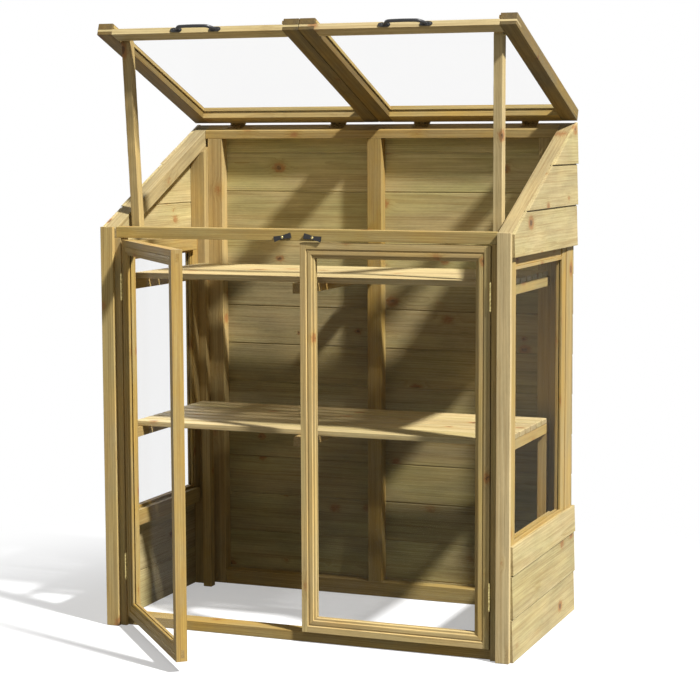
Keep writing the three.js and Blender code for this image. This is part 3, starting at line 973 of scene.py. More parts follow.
@dataclass(frozen=True)
class Layout:
    """The greenhouse's main sizes, and the places worked out from them."""

    half_width: float = 600.0
    depth: float = 650.0
    front_height: float = 1142.0
    roof_slope: float = 25.0
    roof_start: float = 24.0
    gap: float = 0.3
    inset: float = 4.0
    board_width: float = 38.0
    board_thickness: float = 14.0
    post_width: float = 52.5
    post_depth: float = 45.0
    rail_setback: float = 15.0
    rail_depth: float = 45.0
    rail_height: float = 31.0
    sill_y: Range = (28.0, 85.0)
    sill_height: float = 28.0
    rafter_width: float = 38.0
    rafter_depth: float = 45.0
    side_post_width: float = 46.0
    side_post_depth: float = 66.0
    back_post_width: float = 47.0
    back_post_depth: float = 38.0
    back_rail_height: float = 42.0
    cladding: float = 12.0
    taper: float = 4.0
    board_pitch: float = 117.5
    joint: float = 3.0
    tongue: Range = (2.4, 5.6)
    tongue_overlap: float = 0.8
    pane_bevel: float = 0.4
    bead_bevel: float = 0.8

    @property
    def outer(self) -> float:
        """The posts' outer face."""
        return self.half_width - self.inset

    @property
    def front(self) -> float:
        """The posts' front face."""
        return self.board_thickness + self.gap

    @property
    def back(self) -> float:
        """The frame's back face."""
        return self.depth - self.cladding

    @property
    def post_inner(self) -> float:
        """The front posts' inner face."""
        return self.outer - self.post_width

    @property
    def post_back(self) -> float:
        """The front posts' rear face."""
        return self.front + self.post_depth

    @property
    def rail_bottom(self) -> float:
        """The front rail's underside."""
        return self.front_height - self.rail_height

    @property
    def rafter_inner(self) -> float:
        """The rafters' inner face."""
        return self.outer - self.rafter_width

    @property
    def back_post_front(self) -> float:
        """The back posts' front face."""
        return self.back - self.back_post_depth

    @property
    def side_post_inner(self) -> float:
        """The side posts' inner face."""
        return self.outer - self.side_post_width

    @property
    def slope(self) -> float:
        """The roof's rise for each unit of depth."""
        return math.tan(math.radians(self.roof_slope))

    @property
    def rafter_drop(self) -> float:
        """The rafter's depth measured upright."""
        return self.rafter_depth / math.cos(math.radians(self.roof_slope))

    @property
    def back_rail_bottom(self) -> float:
        """The back top rail's underside."""
        return self.roof(self.back) - self.back_rail_height

    @property
    def roof_run(self) -> Point:
        """The direction up the roof."""
        angle = math.radians(self.roof_slope)
        return (0.0, math.cos(angle), math.sin(angle))

    def roof(self, y: float) -> float:
        """The roof plane's height at a depth."""
        return self.front_height + (y - self.roof_start) * self.slope

    def roof_y(self, z: float) -> float:
        """The depth at which the roof plane has a height."""
        return self.roof_start + (z - self.front_height) / self.slope


@dataclass
class FrontFrame:
    """The front boards, posts, top rail and sill."""

    shop: Workshop
    at: Layout

    def build(self) -> None:
        """Makes the front frame's pieces."""
        at, piece = self.at, self.shop.piece
        for side in Side:
            name, placing = side.label, Placing(mirror=side.value)
            x = (at.half_width - at.board_width, at.half_width)
            board = bar(x, (0.0, at.board_thickness), (0.0, at.front_height), Along.Z)
            stock = Stock.PALE if side is Side.RIGHT else Stock.DOOR
            piece(f"{name}_face_board", [board], f"{name}_front_board", placing=placing, stock=stock)
            x = (at.post_inner, at.outer)
            post = bar(x, (at.front, at.post_back), (0.0, at.rail_bottom - at.gap), Along.Z)
            piece(f"{name}_door_post", [post], f"{name}_front_post", placing=placing)
        end = at.rafter_inner - at.gap
        y = (at.rail_setback, at.rail_setback + at.rail_depth)
        rail = bar((-end, end), y, (at.rail_bottom, at.front_height), Along.X)
        piece("front_head_rail", [rail], "front_top_rail")
        end = at.post_inner - at.gap
        sill = bar((-end, end), at.sill_y, (0.0, at.sill_height), Along.X)
        piece("front_threshold", [sill], "front_sill")


@dataclass
class SideWall:
    """One side: rafter, rear posts, window frame, pane, beads and lapped cladding."""

    shop: Workshop
    at: Layout
    side: Side
    upper_drop: float = 65.5
    top_drop: float = 4.0
    window_bottom: float = 313.0
    head_reveal: float = 26.5
    rail_height: float = 45.0
    rail_width: float = 38.0
    stile_width: float = 39.0
    stile_thickness: float = 22.0
    head_recess: float = 6.0
    stile_recess: float = 2.5
    pane_inset: float = 8.0
    pane_thickness: float = 2.5
    bead: float = 8.0
    bead_recess: float = 1.5
    lower_boards: int = 3

    def __post_init__(self) -> None:
        """Works out the wall's own places, and how its pieces are made."""
        self.name = self.side.label
        self.piece = partial(self.shop.piece, placing=Placing(mirror=self.side.value))
        self.upper_bottom = self.at.front_height - self.upper_drop
        self.window_top = self.upper_bottom - self.head_reveal

    def outline(self, bottom: float, top: float) -> Array:
        """The (y, z) outline of a board between two heights, cut to the roof where it reaches it.

        Args:
            bottom: The board's lower edge.
            top: Its upper edge.

        Returns:
            The outline, one point a row.
        """
        at = self.at
        front, back, kink = at.front, at.depth, at.roof(at.front)
        points = [(back, bottom), (back, top), (max(at.roof_y(top), front), top)]
        if bottom < kink < top:
            points.append((front, kink))
        points.append((max(at.roof_y(bottom), front), bottom))
        return np.array(points)

    def boards(self, bottoms: Array, top: float) -> list[Shell]:
        """Tapered cladding boards, each with a tongue into the board above.

        Formula: a board's outline seen from the side is carried outwards from the posts' face to a
        thickness that shrinks evenly with height over one board. The tongue is a thinner strip set
        back from both faces, so that the joint shows as a narrow groove.

        Args:
            bottoms: The boards' lower edges.
            top: The upper edge of the last one.

        Returns:
            The boards and tongues.
        """
        at, run = self.at, Along.Y.direction
        shells = []
        for bottom, above in zip(bottoms, np.append(bottoms[1:], top)):
            last = above == top
            body = self.outline(bottom, above if last else above - at.joint)
            thickness = at.cladding - at.taper * (body[:, 1] - bottom) / at.board_pitch
            shells.append(carried(body, at.outer + at.gap, at.outer + thickness, Along.X, run))
            if not last:
                tongue = self.outline(above - at.joint - at.tongue_overlap, above + at.tongue_overlap)
                low, high = at.tongue
                shells.append(carried(tongue, at.outer + low, at.outer + high, Along.X, run))
        return shells

    def cladding(self) -> None:
        """Makes the upper and lower cladding, one board each lap."""
        at, name = self.at, self.name
        top = at.roof(at.depth) - self.top_drop
        laps = np.arange(self.upper_bottom, top - at.board_pitch / 2, at.board_pitch)
        upper = self.boards(laps, top)
        self.piece(f"{name}_upper_boards", upper, f"{name}_upper_cladding", stock=Stock.CLADDING)
        lower = self.boards(np.arange(self.lower_boards) * at.board_pitch, self.window_bottom)
        self.piece(f"{name}_lower_boards", lower, f"{name}_lower_cladding", stock=Stock.CLADDING)

    def frame(self) -> None:
        """Makes the rafter, the posts and the window's frame."""
        at, name, piece = self.at, self.name, self.piece
        seat = at.roof_y(at.rail_bottom + at.rafter_drop)
        outline = [
            (at.front, at.rail_bottom),
            (seat, at.rail_bottom),
            (at.back, at.roof(at.back) - at.rafter_drop),
            (at.back, at.roof(at.back)),
            (at.front, at.roof(at.front)),
        ]
        rafter = carried(outline, at.rafter_inner, at.outer, Along.X, at.roof_run)
        piece(f"{name}_sloping_rail", [rafter], f"{name}_rafter", stock=Stock.RAFTER)
        front, inner = at.back - at.side_post_depth, at.side_post_inner
        section = np.array([(inner, front), (inner, at.back), (at.outer, at.back), (at.outer, front)])
        rise = at.roof(section[:, 1]) - at.rafter_drop - at.gap
        piece(f"{name}_side_post", [carried(section, 0.0, rise, Along.Z)], f"{name}_back_post")
        y, z = (at.back_post_front, at.back), (0.0, at.back_rail_bottom - at.gap)
        corner = bar((inner - at.back_post_width, inner), y, z, Along.Z)
        piece(f"{name}_rear_corner_post", [corner], f"{name}_back_post")
        x = (at.outer - self.stile_thickness, at.outer - self.stile_recess)
        z = (self.window_bottom - self.rail_height, self.window_top + self.rail_height)
        stile = bar(x, (front - self.stile_width, front), z, Along.Z)
        piece(f"{name}_window_stile", [stile], f"{name}_back_post")
        self.window((at.post_back + at.gap, front - self.stile_width - at.gap))

    def beads(self, x: Range, y: Range) -> list[Shell]:
        """Four beads round the window's opening, at one place across the wall.

        Args:
            x: The beads' inner and outer faces.
            y: Where the window's opening starts and ends.

        Returns:
            The two level beads and the two upright ones.
        """
        low, high, gap, wide = self.window_bottom, self.window_top, self.at.gap, self.bead
        upright = (low + wide + gap, high - wide - gap)
        return [
            bar(x, y, (low, low + wide), Along.Y),
            bar(x, y, (high - wide, high), Along.Y),
            bar(x, (y[0], y[0] + wide), upright, Along.Z),
            bar(x, (y[1] - wide, y[1]), upright, Along.Z),
        ]

    def window(self, y: Range) -> None:
        """Makes the window's rails, pane and beads.

        Args:
            y: Where the window's opening starts and ends.
        """
        at, name, piece = self.at, self.name, self.piece
        low, high = self.window_bottom, self.window_top
        inner = at.outer - self.rail_width
        head = bar((inner, at.outer - self.head_recess), y, (high, high + self.rail_height), Along.Y)
        piece(f"{name}_window_head_rail", [head], f"{name}_window_head")
        cill = bar((inner, at.outer), y, (low - self.rail_height, low), Along.Y)
        piece(f"{name}_window_cill_rail", [cill], f"{name}_window_sill")
        face = at.outer - self.pane_inset
        rear = face - self.pane_thickness
        pane = bar((rear, face), y, (low + at.gap, high - at.gap), Along.Z)
        look = {"finish": Finish.PANE, "bevel": at.pane_bevel}
        piece(f"{name}_window_glazing", [pane], f"{name}_side_pane", **look)
        beads = self.beads((face + at.gap, at.outer - self.bead_recess), y)
        beads += self.beads((rear - at.gap - self.bead, rear - at.gap), y)
        piece(f"{name}_window_beads", beads, bevel=at.bead_bevel)

    def build(self) -> None:
        """Makes the whole side."""
        self.frame()
        self.cladding()


@dataclass
class BackWall:
    """The back: rails, middle post and lapped boards, its lower boards drawn darker as painted shade."""

    shop: Workshop
    at: Layout
    post_x: Range = (-26.0, 18.0)
    bottom_rail_height: float = 45.0
    top_board: float = 83.3
    # boards whose lower edge lies below this height are drawn darker as painted shade
    damp_below: float = 960.0

    def build(self) -> None:
        """Makes the back's pieces."""
        at, piece = self.at, self.shop.piece
        y, low, top = (at.back_post_front, at.back), at.back_rail_bottom, at.roof(at.back)
        post = bar(self.post_x, y, (self.bottom_rail_height + at.gap, low - at.gap), Along.Z)
        piece("middle_rear_post", [post], "middle_back_post")
        end = at.side_post_inner - at.back_post_width - at.gap
        rail = bar((-end, end), y, (0.0, self.bottom_rail_height), Along.X)
        piece("rear_bottom_rail", [rail], "back_bottom_rail")
        end = at.rafter_inner - at.gap
        outline = [(y[0], low), (y[1], low), (y[1], top), (y[0], at.roof(y[0]))]
        piece("rear_head_rail", [carried(outline, -end, end, Along.X)], "back_top_rail")
        laps = np.append(0.0, np.sort(np.arange(top - self.top_board, 0.0, -at.board_pitch)))
        upper, lower = [], []
        for bottom, above in zip(laps, np.append(laps[1:], top)):
            # the lower boards get the darker stock, which paints the shade inside the back
            boards = upper if bottom > self.damp_below else lower
            boards += self.board(bottom, above, above == top)
        piece("rear_upper_boards", upper, "back_cladding", stock=Stock.BACK)
        piece("rear_lower_boards", lower, "back_cladding", stock=Stock.DAMP)

    def board(self, bottom: float, above: float, last: bool) -> list[Shell]:
        """One tapered board across the back, and its tongue into the board above.

        Formula: a section whose thickness shrinks evenly with height, carried from side to side.

        Args:
            bottom: The board's lower edge.
            above: The next board's lower edge, or the last one's own upper edge.
            last: Whether no board is above it.

        Returns:
            The board and, below the last one, its tongue.
        """
        at = self.at
        thin = at.cladding - at.taper * min(1.0, (above - bottom) / at.board_pitch)
        edge = above if last else above - at.joint
        outline = [
            (at.back + at.gap, bottom),
            (at.back + at.cladding, bottom),
            (at.back + thin, edge),
            (at.back + at.gap, edge),
        ]
        shells = [carried(outline, -at.outer, at.outer, Along.X)]
        if not last:
            y = (at.back + at.tongue[0], at.back + at.tongue[1])
            z = (edge - at.tongue_overlap, above + at.tongue_overlap)
            shells.append(bar((-at.outer, at.outer), y, z, Along.X))
        return shells


@dataclass
class SlattedShelf:
    """Slats on three bearers, with legs at the back of the lower one."""

    shop: Workshop
    at: Layout
    node: str
    top: float
    has_legs: bool
    slat_front: float = 95.0
    slat_pitch: float = 57.0
    slat_count: int = 8
    slat_width: float = 48.0
    slat_thickness: float = 16.0
    slat_rounding: float = 2.6
    bearer_height: float = 28.0
    bearer_width: float = 24.0
    middle_x: Range = (-40.0, 0.0)
    back_gap: float = 38.0
    leg_width: float = 27.0
    seat_gap: float = 0.05
    nail_radius: float = 2.4
    nail_rise: float = 0.6
    nail_sink: float = 0.2

    def build(self) -> None:
        """Makes the shelf's slats, bearers, legs and nails."""
        at, piece, node = self.at, self.shop.piece, self.node
        end, under = at.side_post_inner, self.top - self.slat_thickness
        fronts = self.slat_front + self.slat_pitch * np.arange(self.slat_count)
        slats = [bar((-end, end), (f, f + self.slat_width), (under, self.top), Along.X) for f in fronts]
        piece(f"{node}_slats", slats, node, bevel=self.slat_rounding, stock=Stock.SLAT)
        z = (under - self.bearer_height, under - self.seat_gap)
        front, back = at.post_back + at.gap, at.back_post_front - self.back_gap
        bearers = [bar(self.middle_x, (front, at.back_post_front - at.gap), z, Along.Y)]
        legs = []
        for side in Side:
            x = sorted(side.value * place for place in (end - self.bearer_width, end))
            bearers.append(bar(tuple(x), (front, back), z, Along.Y))
            x = sorted(side.value * place for place in (end - self.leg_width, end))
            y = (back - self.leg_width, back)
            legs.append(bar(tuple(x), y, (0.0, z[0] - self.seat_gap), Along.Z))
        piece(f"{node}_bearers", bearers, node)
        if self.has_legs:
            piece(f"{node}_legs", legs, node)
        outer = end - self.bearer_width / 2
        nails = [
            screw_head(
                (x, front + self.slat_width / 2, self.top - self.nail_sink),
                Along.Z, self.nail_radius, self.nail_rise,
            )
            for x in (-outer, sum(self.middle_x) / 2, outer)
            for front in fronts
        ]
        piece(f"{node}_nails", nails, finish=Finish.ZINC, bevel=0.0)


@dataclass
class Door:
    """One glazed door. Its own x runs from the hinge axis to the closing edge, y backwards."""

    shop: Workshop
    at: Layout
    side: Side
    opening: float
    thickness: float = 30.0
    side_gap: float = 3.0
    meeting_gap: float = 2.0
    top_gap: float = 5.0
    bottom_gap: float = 3.0
    flat: float = 16.6
    groove: float = 3.4
    groove_depth: float = 3.0
    bead: float = 14.0
    bead_depth: float = 1.5
    bead_squareness: float = 6.0
    lip: float = 8.0
    lip_depth: float = 5.0
    lip_thickness: float = 7.0
    lip_step: float = 0.4
    lip_roll: float = 3.0
    rear_bead_round: float = 4.0
    pane_thickness: float = 2.5
    tenon_inset: float = 10.0
    tenon_height: float = 22.0
    tenon_y: Range = (12.0, 22.0)
    tenon_x: Range = (-3.0, 0.25)
    member_bevel: float = 0.7
    knuckle_radius: float = 3.0
    knuckle_ease: float = 0.4
    hinge_length: float = 75.0
    hinge_heights: Range = (174.0, 973.5)
    leaf_thickness: float = 0.9
    leaf_y: Range = (0.5, 29.0)
    leaf_sink: float = 0.05
    pin_cap: tuple[Range, ...] = ((0.4, 1.2), (1.6, 0.9), (2.0, 0.0))

    def __post_init__(self) -> None:
        """Works out the door's own places from its sizes."""
        at, side = self.at, self.side.value
        axis_y = at.board_thickness - self.knuckle_radius - at.gap
        self.near = self.side_gap / 2
        axis_x = at.post_inner - self.near
        self.far = axis_x - self.meeting_gap / 2
        self.bottom = at.sill_height + self.bottom_gap
        self.top = at.rail_bottom - self.top_gap
        self.front = at.board_thickness - axis_y
        self.back = self.front + self.thickness
        self.name = self.side.label
        self.lip_back = self.front + self.lip_depth + self.lip_thickness
        origin = (side * axis_x, axis_y, 0.0)
        self.placing = Placing(-side, "Z", side * self.opening, origin)
        self.still = Placing(-side, "Z", 0.0, origin)
        self.piece = partial(self.shop.piece, body=f"{self.name}_door", placing=self.placing)

    def moulding(self) -> Array:
        """The moulded part of a member's section, as (inset, depth) points.

        Formula: the groove falls along a quarter of a sine. The bead rises from it by an even
        power of the distance from its middle, flat in the middle and steep at its edges. The lip
        turns into the glazing rebate along a quarter circle.

        Returns:
            The outline, from the groove's start to the rear of the flat bar.
        """
        front, back, roll = self.front, self.back, self.lip_roll
        start, bead = self.flat, self.flat + self.groove
        lip, end = bead + self.bead, bead + self.bead + self.lip
        t = np.linspace(0, 1, 7)
        groove = [start + self.groove * t, front + self.groove_depth * np.sin(np.pi * t / 2)]
        t = np.linspace(-1, 1, 13)[1:]
        fall = (self.groove_depth - self.bead_depth) * np.abs(t) ** self.bead_squareness
        crown = [(bead + lip) / 2 + self.bead / 2 * t, front + self.bead_depth + fall]
        step = [[lip + self.lip_step], [front + self.lip_depth]]
        t = np.linspace(0, np.pi / 2, 6)
        rolled = [end - roll + roll * np.sin(t), front + self.lip_depth + roll * (1 - np.cos(t))]
        rear = [[end, lip, lip, start], [self.lip_back, self.lip_back, back, back]]
        return np.concatenate([groove, crown, step, rolled, rear], axis=1).T

    def rear_bead(self) -> Array:
        """The section of the bead behind the pane, with a quarter ellipse for its inner corner.

        Returns:
            The outline, as (inset, depth) points.
        """
        inner = self.flat + self.groove + self.bead
        front, back = self.lip_back + self.pane_thickness + 2 * self.at.gap, self.back - self.lip_depth
        t = np.linspace(0, np.pi / 2, 5)
        corner_x = inner + self.lip / 2 * (1 + np.cos(t))
        corner = np.column_stack([corner_x, back + self.rear_bead_round * (np.sin(t) - 1)])
        return np.concatenate([[[inner, front], [inner + self.lip, front]], corner, [[inner, back]]])

    def member(self, length: Range, edge: float, inwards: float, along: Along) -> list[Shell]:
        """A stile or a rail: a flat bar, its mitred moulding and the mitred bead behind the pane.

        Formula: the moulding's ends lie on the diagonals, so an inset of u from the outer edge
        starts u along the member from its end. The stiles' flat bars run to the door's ends, and
        the rails' stand between them.

        Args:
            length: The door's outer edges that the member runs between.
            edge: The member's own outer edge.
            inwards: 1 or -1 towards the door's middle.
            along: Z for a stile and X for a rail.

        Returns:
            The member's shells.
        """
        gap, stile = self.at.gap, along is Along.Z
        front, back = self.front, self.back
        flat = np.array([[0.0, front], [self.flat, front], [self.flat, back], [0.0, back]])
        flat_end = 0.0 if stile else self.flat + gap
        shells = []
        for outline, mitred in ((flat, False), (self.moulding(), True), (self.rear_bead(), True)):
            inset, depth = outline.T
            place = edge + inwards * inset
            section = np.column_stack([place, depth] if stile else [depth, place])
            end = inset + gap / 2 if mitred else flat_end
            shells.append(carried(section, length[0] + end, length[1] - end, along))
        return shells

    def tenon_ends(self, edge: float, outwards: float) -> list[Shell]:
        """The ends of the rails' tenons, showing in a stile's outer edge.

        Args:
            edge: The stile's outer edge.
            outwards: 1 or -1 away from the door's middle.

        Returns:
            The upper and the lower tenon's end.
        """
        x = sorted(edge + outwards * place for place in self.tenon_x)
        y = (self.front + self.tenon_y[0], self.front + self.tenon_y[1])
        high, low = self.top - self.tenon_inset, self.bottom + self.tenon_inset
        spans = ((high - self.tenon_height, high), (low, low + self.tenon_height))
        return [bar(tuple(x), y, z, Along.X) for z in spans]

    def hinges(self) -> None:
        """Makes both hinges: knuckles in turn on post and door, leaves and pins."""
        near, gap, length = self.near, self.at.gap, self.hinge_length
        cap = np.array(self.pin_cap)
        pin = np.concatenate([cap * [1, -1], cap[::-1] + [0, length]])
        for where, height in zip(("lower", "upper"), self.hinge_heights):
            start = (0.0, 0.0, height - length / 2)
            z = (start[2], start[2] + length)
            fixed, moving = knuckles(start, length, Along.Z, self.knuckle_radius, self.knuckle_ease)
            fixed.append(bar((gap - near, gap - near + self.leaf_thickness), self.leaf_y, z, Along.Z))
            fixed.append(turned(pin, start, Along.Z, sides=16))
            x = (near - self.leaf_thickness, near - self.leaf_sink)
            moving.append(bar(x, self.leaf_y, z, Along.Z))
            stem, metal = f"{self.name}_door_hinge_{where}", {"finish": Finish.ZINC, "bevel": 0.0}
            self.piece(f"{stem}_fixed", fixed, stem, body="frame", placing=self.still, **metal)
            self.piece(f"{stem}_moving", moving, **metal)

    def build(self) -> None:
        """Makes the door's pieces."""
        name, piece = self.name, self.piece
        height, width = (self.bottom, self.top), (self.near, self.far)
        stock = Stock.FRAME if self.side is Side.LEFT else Stock.DOOR
        look = {"bevel": self.member_bevel, "stock": stock}
        for part, edge, inwards in (("hinge", self.near, 1.0), ("closing", self.far, -1.0)):
            shells = self.member(height, edge, inwards, Along.Z) + self.tenon_ends(edge, -inwards)
            piece(f"{name}_door_{part}_side", shells, f"{name}_door_{part}_stile", **look)
        for part, edge, inwards in (("top", self.top, -1.0), ("bottom", self.bottom, 1.0)):
            shells = self.member(width, edge, inwards, Along.X)
            piece(f"{name}_door_{part}_bar", shells, f"{name}_door_{part}_rail", **look)
        inset = self.flat + self.groove + self.bead + self.at.gap
        front = self.lip_back + self.at.gap
        x, z = (self.near + inset, self.far - inset), (self.bottom + inset, self.top - inset)
        pane = bar(x, (front, front + self.pane_thickness), z, Along.Z)
        look = {"finish": Finish.PANE, "bevel": self.at.pane_bevel}
        piece(f"{name}_door_glazing", [pane], f"{name}_door_pane", **look)
        self.hinges()


@dataclass
class Lid:
    """One glazed roof lid with its handle, prop and hinges.

    Its own x runs outwards from the greenhouse's middle, y backwards to the hinge axis and z up
    from it, square to the pane. The three numbers of a screw are its place on the leaf or foot, its
    radius and its rise.
    """

    shop: Workshop
    at: Layout
    side: Side
    rest: float = 21.2
    near: float = 1.0
    far: float = 607.0
    under: float = -4.0
    top: float = 30.0
    rear: float = 5.0
    front_y: float = 32.0
    member: float = 45.0
    rail_top: float = 13.0
    rail_bevel: float = 0.6
    slot: Range = (5.0, 12.0)
    axis_y: float = 641.0
    pane_thickness: float = 2.5
    bead: float = 9.0
    bead_width: float = 4.0
    bead_start: float = 2.0
    hinge_places: Range = (135.0, 467.0)
    hinge_length: float = 50.0
    knuckle_radius: float = 4.5
    knuckle_ease: float = 0.5
    leaf_width: float = 34.0
    leaf_thickness: float = 0.85
    leaf_root: Range = (2.4, -2.0)
    clearance: float = 1.45
    moving_leaf: Range = (0.05, 0.9)
    moving_leaf_height: float = 27.0
    screw_places: Point = (-16.0, 0.0, 16.0)
    fixed_screw: Point = (-20.0, 2.6, 0.25)
    moving_screw: Point = (17.0, 2.8, 0.7)
    handle_length: float = 152.0
    foot_length: float = 35.0
    foot_height: float = 13.0
    foot_thickness: float = 2.5
    foot_bevel: float = 0.6
    foot_screws: tuple[Point, ...] = ((9.0, 3.0, -1.2), (-10.0, 2.6, -0.8))
    reach: float = 28.0
    rod: float = 4.0
    rod_height: float = 4.5
    bow_seat: float = 0.55
    bow_ramp: float = 0.36
    bow_power: float = 0.7
    bow_crown: float = 0.16
    bow_thinning: float = 0.22
    bow_flatness: Range = (1.45, 1.15)
    pivot_inset: float = 67.0
    pivot_drop: float = 2.5
    foot_drop: float = 22.0
    prop_size: Range = (25.0, 30.0)
    prop_gap: float = 1.5
    prop_crown: float = 14.0
    prop_shoulder: float = 12.0
    prop_roughness: Range = (-1.1, 0.2)
    prop_fade: float = 0.3
    prop_lean: float = 3.3
    prop_side_lean: float = 1.0
    bolt_radius: float = 2.4
    bolt_x: Range = (-24.5, 4.5)

    def __post_init__(self) -> None:
        """Works out the lid's own places from its sizes."""
        at, side, self.name = self.at, self.side.value, self.side.label
        cosine = math.cos(math.radians(at.roof_slope))
        self.front = (self.axis_y - self.front_y) / cosine
        axis_z = at.roof(self.axis_y) + (self.clearance - self.under) / cosine
        axis = (0.0, self.axis_y, axis_z)
        self.placing = Placing(side, "X", -self.rest, axis)
        self.closed = Placing(side, "X", at.roof_slope, axis)
        self.inner = (self.near + self.member + at.gap, self.far - self.member - at.gap)
        self.piece = partial(self.shop.piece, body=f"{self.name}_lid", placing=self.placing)

    def stile(self, x: Range) -> Shell:
        """A stile with an open slot for a rail's tenon at each end, its outline carried across.

        Args:
            x: The stile's two sides.

        Returns:
            The closed shell.
        """
        under, top, (low, high) = self.under, self.top, self.slot
        rear, front = -self.rear, -self.front
        rear_slot, front_slot = rear - self.member, front + self.member
        outline = [
            (rear, under), (rear, low), (rear_slot, low), (rear_slot, high), (rear, high), (rear, top),
            (front, top), (front, high), (front_slot, high), (front_slot, low), (front, low),
            (front, under),
        ]
        return carried(outline, *x, Along.X, Along.Y.direction)

    def rail(self, top: float, y: Range) -> Shell:
        """A rail with a tenon at each end, its outline carried along the slope.

        Args:
            top: The rail's upper face.
            y: Its front and rear faces.

        Returns:
            The closed shell.
        """
        (x0, x1), near, far, under = self.inner, self.near, self.far, self.under
        low, high = self.slot[0] + self.at.gap, self.slot[1] - self.at.gap
        outline = [
            (under, x0), (under, x1), (low, x1), (low, far), (high, far), (high, x1),
            (top, x1), (top, x0), (high, x0), (high, near), (low, near), (low, x0),
        ]
        return carried(outline, *y, Along.Y, Along.X.direction)

    def glazing(self) -> None:
        """Makes the pane and the beads that hold it to the stiles and the rear rail."""
        gap, name = self.at.gap, self.name
        low = self.rail_top + gap
        high = low + self.pane_thickness
        back = -(self.rear + self.member) - gap
        pane = bar(self.inner, (-self.front, back), (low, high), Along.Y)
        look = {"finish": Finish.PANE, "bevel": self.at.pane_bevel}
        self.piece(f"{name}_lid_glazing", [pane], f"{name}_lid_pane", **look)
        y, z = (self.bead_start - self.front, back), (high + gap, high + gap + self.bead)
        (x0, x1), wide = self.inner, self.bead_width
        beads = [
            bar((x0, x0 + wide), y, z, Along.Y),
            bar((x1 - wide, x1), y, z, Along.Y),
            bar((x0 + wide + gap, x1 - wide - gap), (back - wide, back), z, Along.X),
        ]
        self.piece(f"{name}_lid_beads", beads, bevel=self.at.bead_bevel, stock=Stock.LID)

    def handle(self) -> None:
        """Makes the bow handle: an arched rod that flattens into two oval feet, and its screws.

        Formula: the rod's centreline rises from each foot with a power of a quarter sine, and a
        shallow parabola lifts its middle. Its radius and flatness follow the same rise.
        """
        name, middle = self.name, (self.near + self.far) / 2
        face = -(self.front + self.at.gap)
        half = (self.handle_length - self.foot_length) / 2
        x = np.linspace(-half, half, 49)
        ramp = np.clip((half - np.abs(x)) / (self.bow_ramp * half), 0, 1)
        level = np.sin(ramp * np.pi / 2) ** self.bow_power
        arch = 1 - self.bow_crown * (x / half) ** 2
        seat = self.foot_thickness * self.bow_seat
        out = seat + (self.reach - self.rod - seat) * level * arch
        route = np.column_stack([middle + x, face - out, np.full(len(x), self.rod_height)])
        radii = self.rod * (1 - self.bow_thinning * (1 - level))
        at_foot, at_middle = self.bow_flatness
        normal = np.array(Along.Z.direction)
        bow = rod_on_path(route, radii, normal, at_foot + (at_middle - at_foot) * level)
        feet, screws = [], []
        for end in (-1.0, 1.0):
            centre = middle + end * half
            outline = oval(self.foot_length, self.foot_height) + [centre, self.rod_height]
            front = face - self.foot_thickness
            feet.append(carried(outline[:, ::-1], front, face, Along.Y, Along.X.direction))
            screws += [
                screw_head((centre + end * place, front, self.rod_height), Along.Y, radius, rise)
                for place, radius, rise in self.foot_screws
            ]
        look = {"node": f"{name}_lid_handle", "finish": Finish.BLACK}
        self.piece(f"{name}_lid_pull", [bow], **look, bevel=0.0, smooth_angle=60.0)
        self.piece(f"{name}_lid_pull_feet", feet, **look, bevel=self.foot_bevel)
        self.piece(f"{name}_lid_pull_screws", screws, finish=Finish.BLACK, bevel=0.0)

    def hinges(self) -> None:
        """Makes both hinges: knuckles in turn on rail and lid, leaves and screws."""
        low = self.under - self.clearance + self.at.gap
        high = low + self.leaf_thickness
        root, root_top = self.leaf_root
        fixed_y, fixed_radius, fixed_rise = self.fixed_screw
        moving_z, moving_radius, moving_rise = self.moving_screw
        face_inner, face_outer = (place - self.rear for place in self.moving_leaf)
        for where, place in zip(("outer", "inner"), self.hinge_places):
            middle = self.at.half_width - place
            start = middle - self.hinge_length / 2
            x, length = (start, start + self.hinge_length), self.hinge_length
            fixed, moving = knuckles(
                (start, 0.0, 0.0), length, Along.X, self.knuckle_radius, self.knuckle_ease
            )
            fixed.append(bar(x, (-self.leaf_width, 0.0), (low, high), Along.X))
            fixed.append(bar(x, (-root, root), (low, root_top), Along.X))
            moving.append(bar(x, (face_inner, face_outer), (0.0, self.moving_leaf_height), Along.X))
            for off in self.screw_places:
                seat = (middle + off, fixed_y, high)
                fixed.append(screw_head(seat, Along.Z, fixed_radius, fixed_rise))
                if off:
                    seat = (middle + off, face_outer, moving_z)
                    moving.append(screw_head(seat, Along.Y, moving_radius, moving_rise))
            stem, metal = f"{self.name}_lid_hinge_{where}", {"finish": Finish.BRASS, "bevel": 0.0}
            self.piece(f"{stem}_fixed", fixed, stem, body="frame", placing=self.closed, **metal)
            self.piece(f"{stem}_moving", moving, **metal)

